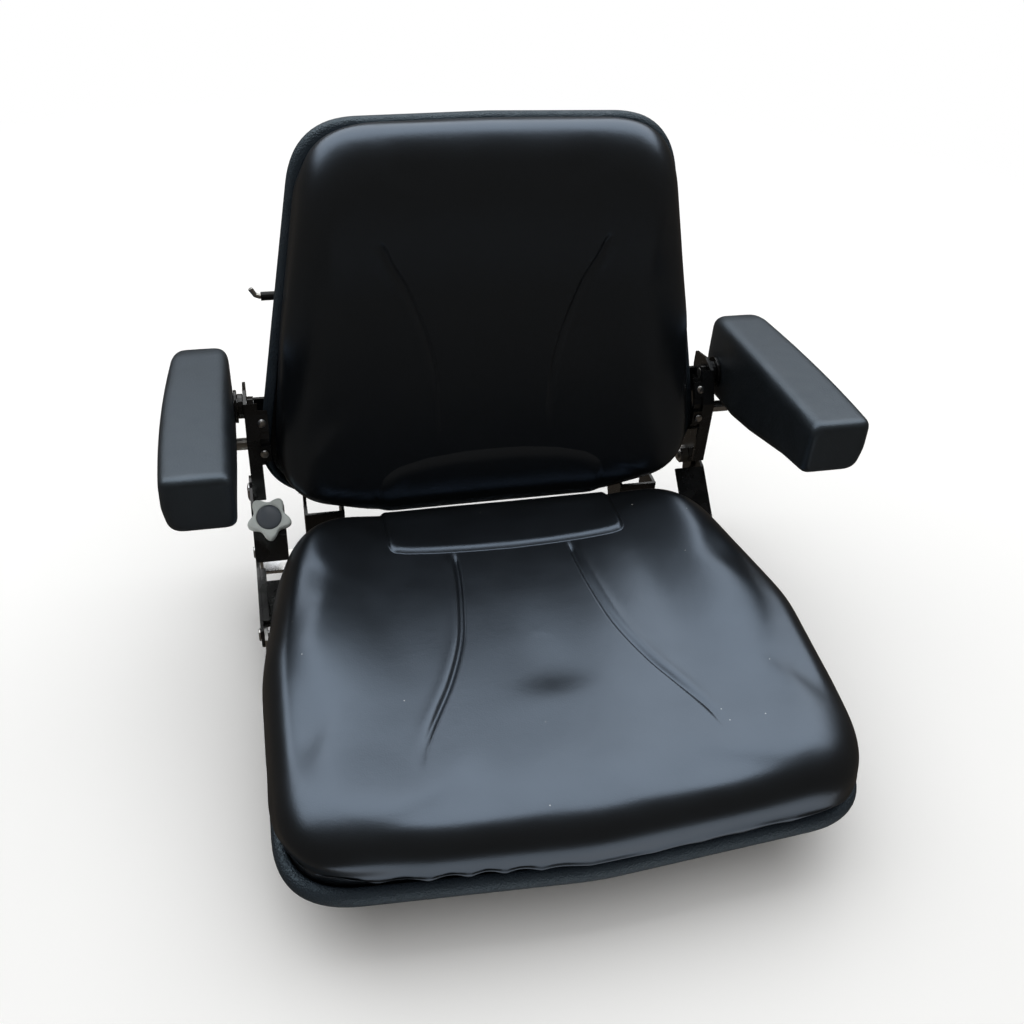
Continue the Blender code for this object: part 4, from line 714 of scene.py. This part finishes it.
class SEAT_OT_edge_trims(bpy.types.Operator):
    """Rounded rubber edging round the seat pan and the backrest shell"""
    bl_idname = "seat_finish.edge_trims"
    bl_label = "Edge trims"

    def execute(self, context):
        settings = context.scene.seat_finish
        material = trim_rubber("edge_rubber", settings.colours.trim,
                               settings.hardware.trim_grain)
        around_seat = self.section(edge=0.0, inset=-settings.hardware.trim_width, bottom=0.0,
                                   top=TRIM_TOP, slot=FLANGE_LEVEL, slot_floor=-0.0037)
        around_back = self.section(edge=0.0056, inset=-0.0045, bottom=-0.0075, top=0.0075,
                                   slot=0.0, slot_floor=0.0019)
        seat = self.edging("seat_edging", lambda grow: seat_outline(grow, EDGING_POINTS),
                           lambda x, y, z: Vector((x, y, z)), around_seat)
        back = self.edging("back_edging", lambda grow: back_outline(grow, EDGING_POINTS),
                           back_point, around_back)
        for item in (seat, back):
            item.data.materials.append(material)
        ride_as(seat, "seat", "trim_rubber", "seat_trim")
        ride_as(back, "backrest", "trim_rubber", "back_trim")
        return {"FINISHED"}

    def section(self, edge, inset, bottom, top, slot, slot_floor):
        """A rounded U, open inward at the slot, as (out from the outline, level) in turn."""
        gap, lip, ease = 0.0013, 0.0022, 0.0006
        nose = 0.0062
        half = (top - bottom) / 2
        level = (top + bottom) / 2
        lips = [(inset + lip * (1 - math.cos(a)), half - lip * (1 - math.sin(a)))
                for a in (math.radians(d) for d in range(0, 91, 30))]
        out = [(slot_floor, slot + gap), (inset + 0.0004, slot + gap), (inset, slot + gap + ease)]
        out += [(place, level + rise) for place, rise in lips]
        out += [(edge - nose * (1 - math.cos(a)), level + half * math.sin(a))
                for a in (math.radians(d) for d in range(75, -76, -15))]
        out += [(place, level - rise) for place, rise in reversed(lips)]
        out += [(inset, slot - gap - ease), (inset + 0.0004, slot - gap),
                (slot_floor, slot - gap)]
        return out

    def edging(self, name, outline_at, place, section):
        """The section swept round an outline."""
        columns = [(outline_at(grow), level) for grow, level in section]
        stations = [[place(points[i].x, points[i].y, level) for points, level in columns]
                    for i in range(len(columns[0][0]))]
        return loop_object(name, stations)


# Armrest pads

PAD_INNER = 0.2459
PAD_OUTER = 0.3059
PAD_FRONT = 0.2466
PAD_REAR = 0.4910
PAD_TOP_REAR = 0.2040
PAD_TOP_FRONT = 0.2240
PAD_TAPER = 0.0085
PAD_UNDERSIDE = ((0.2466, 0.1735), (0.2530, 0.1695), (0.2920, 0.1605), (0.3650, 0.1375),
                 (0.4060, 0.1275), (0.4390, 0.1245), (0.4560, 0.1222), (0.4670, 0.1246),
                 (0.4770, 0.1314), (0.4830, 0.1398), (0.4880, 0.1480), (0.4910, 0.1600))
PAD_SHRINK = ((0.2466, 0.0062), (0.2472, 0.0045), (0.2484, 0.0028), (0.2504, 0.0012),
              (0.2530, 0.0003), (0.2560, 0.0), (0.4670, 0.0002), (0.4770, 0.0012),
              (0.4830, 0.0030), (0.4870, 0.0056), (0.4895, 0.0082), (0.4910, 0.0115))


class SEAT_OT_armrest_pads(bpy.types.Operator):
    """Moulded armrest pads with a grained foam skin"""
    bl_idname = "seat_finish.armrest_pads"
    bl_label = "Armrest pads"

    def execute(self, context):
        settings = context.scene.seat_finish
        material = foam_skin("armrest_foam", settings.colours.foam)
        for side, name in ((-1, "left"), (1, "right")):
            stations = sorted({y for y, _ in PAD_SHRINK} | {y for y, _ in PAD_UNDERSIDE}
                              | {PAD_FRONT + 0.012 * k for k in range(1, 19)})
            rings = [self.section(y, side) for y in stations]
            pad = shell_object(f"armrest_{name}", rings, lambda x, y, z: (x, y, z))
            refine(pad, 1)
            pad.data.materials.append(material)
            ride_as(pad, f"armrest_{name}", "grey_foam_skin", f"armrest_pad_{name}")
        return {"FINISHED"}

    def section(self, y, side):
        """One cross section: flat inside, rounder outside and below."""
        part = (y - PAD_FRONT) / (PAD_REAR - PAD_FRONT)
        shrink = float(np.interp(y, *np.transpose(PAD_SHRINK)))
        top = PAD_TOP_FRONT + (PAD_TOP_REAR - PAD_TOP_FRONT) * part - shrink * 0.9
        bottom = float(np.interp(y, *np.transpose(PAD_UNDERSIDE))) + shrink * 0.4
        inner = PAD_INNER + shrink * 0.55
        outer = PAD_OUTER - PAD_TAPER * (part - 0.35) ** 2 / 0.42 - shrink
        tall = top - bottom
        corners = [(inner, bottom), (outer - 0.004, bottom), (outer, bottom + tall * 0.45),
                   (outer - 0.001, top), (inner, top)]
        radii = [min(0.009, tall * 0.2), min(0.024, tall * 0.45), 0.030,
                 min(0.0085, tall * 0.25), min(0.0110, tall * 0.25)]
        return [(side * p.x, y, p.y) for p in even_points(soft_corners(corners, radii, 9), 56)]


# Star knob

KNOB_PLACE = Vector((-0.2235, 0.41479, 0.038385))
BLADE_RISE = math.radians(39.3)
KNOB_BASE = 0.0160
KNOB_TOP = 0.0295
KNOB_CAP_RADIUS = 0.0118
KNOB_DOME = 0.0045
KNOB_POINTS = 120
CAP_POINTS = 64
KNOB_NECK = ((0.0088, 0.0006), (0.0090, 0.0010), (0.0090, KNOB_BASE - 0.0004),
             (0.0100, KNOB_BASE + 0.0002))
KNOB_RIM = ((0.840, KNOB_BASE + 0.0002), (0.930, KNOB_BASE + 0.0004),
            (0.985, KNOB_BASE + 0.0016), (1.000, KNOB_BASE + 0.0040),
            (1.000, KNOB_TOP - 0.0052), (0.985, KNOB_TOP - 0.0026),
            (0.945, KNOB_TOP - 0.0009), (0.880, KNOB_TOP))
KNOB_WELL = ((0.0126, KNOB_TOP), (0.0122, KNOB_TOP - 0.0003), (0.0121, KNOB_TOP - 0.0028))


def circle(radius, reach, count):
    """A ring of points round the knob's axis, reach along it."""
    turns = (2 * math.pi * k / count for k in range(count))
    return [(radius * math.cos(a), radius * math.sin(a), reach) for a in turns]


class SEAT_OT_star_knob(bpy.types.Operator):
    """Star knob of the rake with its domed cap"""
    bl_idname = "seat_finish.star_knob"
    bl_label = "Star knob"

    def execute(self, context):
        settings = context.scene.seat_finish
        sizes = settings.hardware
        rings = [circle(radius, reach, KNOB_POINTS) for radius, reach in KNOB_NECK]
        rings += [self.star(part, reach, sizes) for part, reach in KNOB_RIM]
        rings += [circle(radius, reach, KNOB_POINTS) for radius, reach in KNOB_WELL]
        knob = shell_object("knob_star", rings, self.place)
        knob.data.set_sharp_from_angle(angle=math.radians(50))
        knob.data.materials.append(moulded("knob_plastic", settings.colours.knob, 0.42, 0.03))
        ride_as(knob, "knob", "pale_knob", "star_knob")
        dome = [(KNOB_CAP_RADIUS, KNOB_TOP - 0.0026), (KNOB_CAP_RADIUS, KNOB_TOP - 0.0002)]
        dome += [(KNOB_CAP_RADIUS * math.cos(a), KNOB_TOP + KNOB_DOME * math.sin(a))
                 for a in (math.radians(d) for d in (12, 25, 38, 52, 66, 80))]
        rings = [circle(radius, reach, CAP_POINTS) for radius, reach in dome]
        cap = shell_object("knob_dome", rings, self.place)
        cap.data.materials.append(moulded("cap_plastic", settings.colours.cap, 0.40, 0.05))
        ride_as(cap, "knob", "grey_cap", "knob_cap")
        return {"FINISHED"}

    def star(self, part, reach, sizes):
        """A ring of lobes and waists, part of their full size, reach along the axis."""
        ring = []
        for a, b, level in circle(part, reach, KNOB_POINTS):
            wave = 0.5 - 0.5 * math.cos(sizes.knob_lobes * (math.atan2(b, a) - math.pi / 2))
            radius = sizes.knob_waist + (sizes.knob_radius - sizes.knob_waist) * wave ** 1.15
            ring.append((radius * a, radius * b, level))
        return ring

    def place(self, a, b, reach):
        """A point across the knob's axis and along it, from the datum."""
        sine, cosine = math.sin(BLADE_RISE), math.cos(BLADE_RISE)
        forward = Vector((0, -sine, cosine))
        side = Vector((1, 0, 0))
        return KNOB_PLACE + side * a + forward.cross(side) * b + forward * reach


# Finishes

class Nodes:
    """The node tree of a material or the world, with short ways to add to it."""

    def __init__(self, owner):
        owner.use_nodes = True
        self.owner = owner
        self.tree = owner.node_tree

    @cached_property
    def place(self):
        """Places on the object, for the textures."""
        return self.add("ShaderNodeTexCoord").outputs["Object"]

    def feed(self, socket, value):
        """Another node's output, a number or a colour goes into a socket."""
        if isinstance(value, bpy.types.NodeSocket):
            self.tree.links.new(value, socket)
        else:
            socket.default_value = value if isinstance(value, float) else (*value, 1.0)

    def add(self, kind, sockets=(), **values):
        """A new node with its values, and with what goes into its sockets."""
        node = self.tree.nodes.new(kind)
        for key, value in values.items():
            setattr(node, key, value)
        for key, value in dict(sockets).items():
            self.feed(node.inputs[key], value)
        return node

    def noise(self, scale, detail=3.0, roughness=0.5):
        sockets = {"Vector": self.place, "Scale": scale, "Detail": detail, "Roughness": roughness}
        return self.add("ShaderNodeTexNoise", sockets).outputs["Fac"]

    def cells(self, scale, feature="F1", output="Distance"):
        sockets = {"Vector": self.place, "Scale": scale}
        return self.add("ShaderNodeTexVoronoi", sockets, feature=feature).outputs[output]

    def spread(self, source, low, high, start, end):
        """The source's range from low to high, spread from start to end."""
        sockets = {"Value": source, "From Min": low, "From Max": high, "To Min": start,
                   "To Max": end}
        return self.add("ShaderNodeMapRange", sockets).outputs["Result"]

    def math(self, operation, first, second):
        sockets = {0: first, 1: second}
        return self.add("ShaderNodeMath", sockets, operation=operation).outputs["Value"]

    def tint(self, factor, first, second):
        """Between two colours, by a factor."""
        sockets = {"Factor": factor, 6: first, 7: second}
        return self.add("ShaderNodeMix", sockets, data_type="RGBA").outputs[2]

    def mix(self, factor, first, second):
        """Between two shaders, by a factor."""
        sockets = {"Fac": factor, 1: first, 2: second}
        return self.add("ShaderNodeMixShader", sockets).outputs["Shader"]

    def bump(self, height, distance, strength, under=None):
        sockets = {"Height": height, "Distance": distance, "Strength": strength}
        if under:
            sockets["Normal"] = under
        return self.add("ShaderNodeBump", sockets).outputs["Normal"]

    def finish(self, colour, roughness, normal, **values):
        """The material, once its shader has all its values."""
        values.update(Base_Color=colour, Roughness=roughness, Normal=normal)
        for key, value in values.items():
            self.feed(self.tree.nodes["Principled BSDF"].inputs[key.replace("_", " ")], value)
        return self.owner

    def seen_ray(self):
        """1 for the rays that show the background to the camera, straight or through glass."""
        path = self.add("ShaderNodeLightPath").outputs
        return self.math("MAXIMUM", path["Is Camera Ray"], path["Is Transmission Ray"])


def material_nodes(name):
    return Nodes(bpy.data.materials.new(name))


def shade(colour, amount):
    """The colour, lighter or darker."""
    return tuple(channel * amount for channel in colour)


def vinyl(name, colour, dust):
    """Grained soft vinyl in mottled tone, its reflections tinted blue as painted sky light, with
    a few specks of dust.
    """
    nodes = material_nodes(name)
    base = nodes.tint(nodes.noise(9.0, 4.0), shade(colour, 0.85), shade(colour, 1.2))
    speck = nodes.math("LESS_THAN", nodes.cells(75.0), 0.045)
    chosen = nodes.math("GREATER_THAN", nodes.cells(75.0, output="Color"), 1.0 - 0.24 * dust)
    base = nodes.tint(nodes.math("MULTIPLY", speck, chosen), base, (0.42, 0.42, 0.40))
    grain = nodes.spread(nodes.cells(850.0, "SMOOTH_F1"), 0.0, 0.8, 0.0, 1.0)
    normal = nodes.bump(nodes.noise(160.0), 0.00012, 0.5)
    normal = nodes.bump(grain, 0.00006, 0.55, normal)
    rough = nodes.spread(nodes.noise(26.0, 4.0), 0.3, 0.7, 0.29, 0.34)
    # Specular tint: painted blue sky light in every reflection of the vinyl
    return nodes.finish(base, rough, normal, IOR=2.15, Specular_Tint=(0.64, 0.79, 1.0))


def trim_rubber(name, colour, grain):
    """Rubber edging with a fine woven grain."""
    nodes = material_nodes(name)
    base = nodes.tint(nodes.noise(30.0, 3.0), shade(colour, 0.85), shade(colour, 1.25))
    cells = nodes.spread(nodes.cells(1.0 / grain), 0.0, 0.7, 1.0, 0.0)
    normal = nodes.bump(cells, 0.00045, 1.0)
    rough = nodes.spread(nodes.noise(60.0), 0.3, 0.7, 0.42, 0.56)
    # Specular tint: painted blue sky light in every reflection of the trim
    return nodes.finish(base, rough, normal, IOR=1.75, Specular_Tint=(0.66, 0.86, 1.0))


def foam_skin(name, colour):
    """Self skinned foam with a fine pebble grain."""
    nodes = material_nodes(name)
    base = nodes.tint(nodes.noise(14.0, 5.0), shade(colour, 0.82), shade(colour, 1.25))
    pebble = nodes.spread(nodes.cells(620.0, "SMOOTH_F1"), 0.0, 0.9, 1.0, 0.0)
    normal = nodes.bump(nodes.noise(220.0), 0.00015, 0.6)
    normal = nodes.bump(pebble, 0.00012, 0.75, normal)
    rough = nodes.spread(nodes.noise(40.0), 0.3, 0.7, 0.38, 0.48)
    # Specular tint: painted blue sky light in every reflection of the foam
    return nodes.finish(base, rough, normal, IOR=2.0, Specular_Tint=(0.66, 0.82, 1.0))


def gloss_paint(name, colour):
    """Black enamel with a slight orange peel and a film of dust."""
    nodes = material_nodes(name)
    base = nodes.tint(nodes.spread(nodes.noise(35.0, 6.0), 0.45, 0.75, 0.0, 1.0), colour,
                      shade(colour, 2.6))
    normal = nodes.bump(nodes.noise(300.0, 2.0), 0.00008, 0.5)
    rough = nodes.spread(nodes.noise(50.0, 5.0), 0.3, 0.7, 0.20, 0.36)
    return nodes.finish(base, rough, normal, IOR=1.52, Coat_Weight=0.25, Coat_Roughness=0.12)


def zinc_plate(name, colour):
    """Bright plating with faint straw and blue tints."""
    nodes = material_nodes(name)
    straw = (colour[0], colour[1] * 0.96, colour[2] * 0.86)
    base = nodes.tint(nodes.spread(nodes.noise(45.0, 4.0), 0.35, 0.65, 0.0, 1.0), colour, straw)
    normal = nodes.bump(nodes.noise(700.0, 2.0), 0.00004, 0.5)
    rough = nodes.spread(nodes.noise(90.0, 4.0), 0.3, 0.7, 0.24, 0.40)
    return nodes.finish(base, rough, normal, Metallic=1.0)


def moulded(name, colour, roughness, mottle):
    """Moulded plastic with a light satin grain."""
    nodes = material_nodes(name)
    base = nodes.tint(nodes.noise(60.0, 3.0), shade(colour, 1.0 - mottle),
                      shade(colour, 1.0 + mottle))
    normal = nodes.bump(nodes.noise(900.0, 2.0), 0.00004, 0.5)
    rough = nodes.spread(nodes.noise(80.0), 0.3, 0.7, roughness - 0.05, roughness + 0.05)
    return nodes.finish(base, rough, normal, IOR=1.5)


PAINTED = {"seat_pan", "back_pan", "back_strap", "back_saddle", "latch_bar"}
PAINTED |= {f"{name}_{side}" for side in ("left", "right")
            for name in ("armrest_washer", "armrest_nut", "armrest_spacer", "back_arm",
                         "side_bracket", "rear_post", "lower_rail")}
REPLACED = ("seat_cushion", "back_cushion", "seat_trim", "back_trim", "armrest_pad_left",
            "armrest_pad_right", "star_knob", "knob_cap")


class SEAT_OT_metal_finishes(bpy.types.Operator):
    """Paint and plating of the metal parts, with broken edges"""
    bl_idname = "seat_finish.metal_finishes"
    bl_label = "Metal finishes"

    def execute(self, context):
        settings = context.scene.seat_finish
        paint = gloss_paint("black_enamel", settings.colours.paint)
        zinc = zinc_plate("bright_zinc", settings.colours.zinc)
        sleeve = moulded("hook_plastic", settings.colours.paint, 0.5, 0.1)
        for name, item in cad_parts.items():
            if name in REPLACED:
                continue
            finish = paint if name in PAINTED else sleeve if name == "hook_sleeve" else zinc
            item.data.materials.clear()
            item.data.materials.append(finish)
            self.break_edges(item, settings.hardware.edge_break)
        return {"FINISHED"}

    def break_edges(self, item, width):
        """Modifiers that round a plate's edges slightly, so that they catch the light."""
        weld = item.modifiers.new("weld", "WELD")
        weld.merge_threshold = 0.00001
        bevel = item.modifiers.new("edges", "BEVEL")
        bevel.width = width
        bevel.segments = 2
        bevel.limit_method = "ANGLE"
        bevel.angle_limit = math.radians(35)
        weighted = item.modifiers.new("shading", "WEIGHTED_NORMAL")
        weighted.keep_sharp = True


# Stage

class SEAT_OT_stage(bpy.types.Operator):
    """Floor, soft light and the photograph's camera"""
    bl_idname = "seat_finish.stage"
    bl_label = "Stage"

    def execute(self, context):
        colours = context.scene.seat_finish.colours
        self.floor(colours.floor)
        self.world()
        self.softbox("rear_softbox", (0.0, 2.1, 2.4), (6.4, 4.2), 1.90, False)
        self.softbox("front_softbox", (0.0, -1.85, 2.4), (6.4, 3.7), 0.90, False, glossy=False)
        self.softbox("floor_card", (0.03, -0.37, 0.006), (0.56, 0.16), 0.7, True)
        self.camera()
        context.scene.view_settings.view_transform = "Standard"
        return {"FINISHED"}

    def floor(self, colour):
        """Pale paper, plain and matt, that takes the seat's shadow."""
        bm = bmesh.new()
        bmesh.ops.create_grid(bm, x_segments=2, y_segments=2, size=FLOOR_SIZE)
        floor = object_from("floor", bm)
        nodes = material_nodes("floor_paper")
        base = nodes.tint(nodes.noise(3.0), colour, shade(colour, 1.02))
        paper = nodes.finish(base, nodes.spread(nodes.noise(5.0), 0.3, 0.7, 0.85, 0.95),
                             nodes.bump(nodes.noise(40.0), 0.0002, 0.1), Specular_IOR_Level=0.1)
        self.fade_to_white(nodes)
        floor.data.materials.append(paper)
        floor.visible_glossy = False

    def fade_to_white(self, nodes):
        """Away from the seat the paper shows plain white to the camera, without shading."""
        reach = nodes.add("ShaderNodeVectorMath", {0: nodes.place}, operation="LENGTH")
        far = nodes.spread(reach.outputs["Value"], *FLOOR_FADE, 0.0, 1.0)
        shaded = nodes.tree.nodes["Principled BSDF"].outputs["BSDF"]
        plain = nodes.add("ShaderNodeEmission").outputs["Emission"]
        surface = nodes.mix(nodes.math("MULTIPLY", far, nodes.seen_ray()), shaded, plain)
        nodes.feed(nodes.tree.nodes["Material Output"].inputs["Surface"], surface)

    def world(self):
        """White to the camera; a dim, warm yard to everything that the seat mirrors."""
        world = bpy.data.worlds.new("pale_studio")
        bpy.context.scene.world = world
        nodes = Nodes(world)
        yard = nodes.add("ShaderNodeBackground", {"Color": YARD_COLOUR, "Strength": YARD_GLOW})
        backdrop = nodes.tree.nodes["Background"]
        nodes.feed(backdrop.inputs["Color"], (1.0, 1.0, 1.0))
        nodes.feed(backdrop.inputs["Strength"], 1.0)
        surface = nodes.mix(nodes.seen_ray(), yard.outputs["Background"],
                            backdrop.outputs["Background"])
        nodes.feed(nodes.tree.nodes["World Output"].inputs["Surface"], surface)

    def softbox(self, name, place, size, glow, upward, glossy=True):
        """A level rectangle of light; glow is its brightness, with 1 as white."""
        data = bpy.data.lights.new(name, "AREA")
        data.shape = "RECTANGLE"
        data.size, data.size_y = size
        data.energy = glow * math.pi * size[0] * size[1]
        data.color = LAMP_COLOUR
        lamp = bpy.data.objects.new(name, data)
        lamp.location = place
        lamp.rotation_euler = (math.pi if upward else 0.0, 0.0, 0.0)
        lamp.visible_camera = False
        lamp.visible_glossy = glossy
        bpy.context.collection.objects.link(lamp)

    def camera(self):
        """The photograph's camera, placed and turned."""
        turn, pitch, roll = CAMERA_TURN, CAMERA_PITCH, CAMERA_ROLL
        ahead = Vector((math.sin(turn) * math.cos(pitch), math.cos(turn) * math.cos(pitch),
                        -math.sin(pitch)))
        level = Vector((math.cos(turn), -math.sin(turn), 0.0))
        rise = level.cross(ahead)
        right = level * math.cos(roll) + rise * math.sin(roll)
        up = rise * math.cos(roll) - level * math.sin(roll)
        data = bpy.data.cameras.new("photo_camera")
        data.sensor_width = SENSOR_WIDTH
        data.lens = CAMERA_FOCUS * SENSOR_WIDTH / PHOTO_WIDTH
        camera = bpy.data.objects.new("photo_camera", data)
        turned = Matrix((right, up, -ahead)).transposed()
        camera.matrix_world = Matrix.Translation(to_frame(CAMERA_PLACE)) @ turned.to_4x4()
        bpy.context.collection.objects.link(camera)
        bpy.context.scene.camera = camera


OPERATORS = (SEAT_OT_seat_cover, SEAT_OT_back_cover, SEAT_OT_edge_trims, SEAT_OT_armrest_pads,
             SEAT_OT_star_knob, SEAT_OT_metal_finishes, SEAT_OT_stage)


class SEAT_PT_finish(bpy.types.Panel):
    """The seat's finish, piece by piece"""
    bl_idname = "SEAT_PT_finish"
    bl_label = "Forklift seat"
    bl_space_type = "VIEW_3D"
    bl_region_type = "UI"
    bl_category = "Seat"

    def draw(self, context):
        settings = context.scene.seat_finish
        for group in (settings.colours, settings.covers, settings.hardware):
            for name in group.bl_rna.properties.keys():
                if name not in {"rna_type", "name"}:
                    self.layout.prop(group, name)
        for operator in OPERATORS:
            self.layout.operator(operator.bl_idname)


GROUPS = (SeatFinishColours, SeatCoverSizes, SeatHardwareSizes, SeatFinishSettings)


def register():
    for item in GROUPS + OPERATORS + (SEAT_PT_finish,):
        bpy.utils.register_class(item)
    bpy.types.Scene.seat_finish = PointerProperty(type=SeatFinishSettings)


def unregister():
    del bpy.types.Scene.seat_finish
    for item in reversed(GROUPS + OPERATORS + (SEAT_PT_finish,)):
        bpy.utils.unregister_class(item)


def main():
    register()
    for operator in OPERATORS:
        group, name = operator.bl_idname.split(".")
        getattr(getattr(bpy.ops, group), name)()


if __name__ == "__main__":
    main()
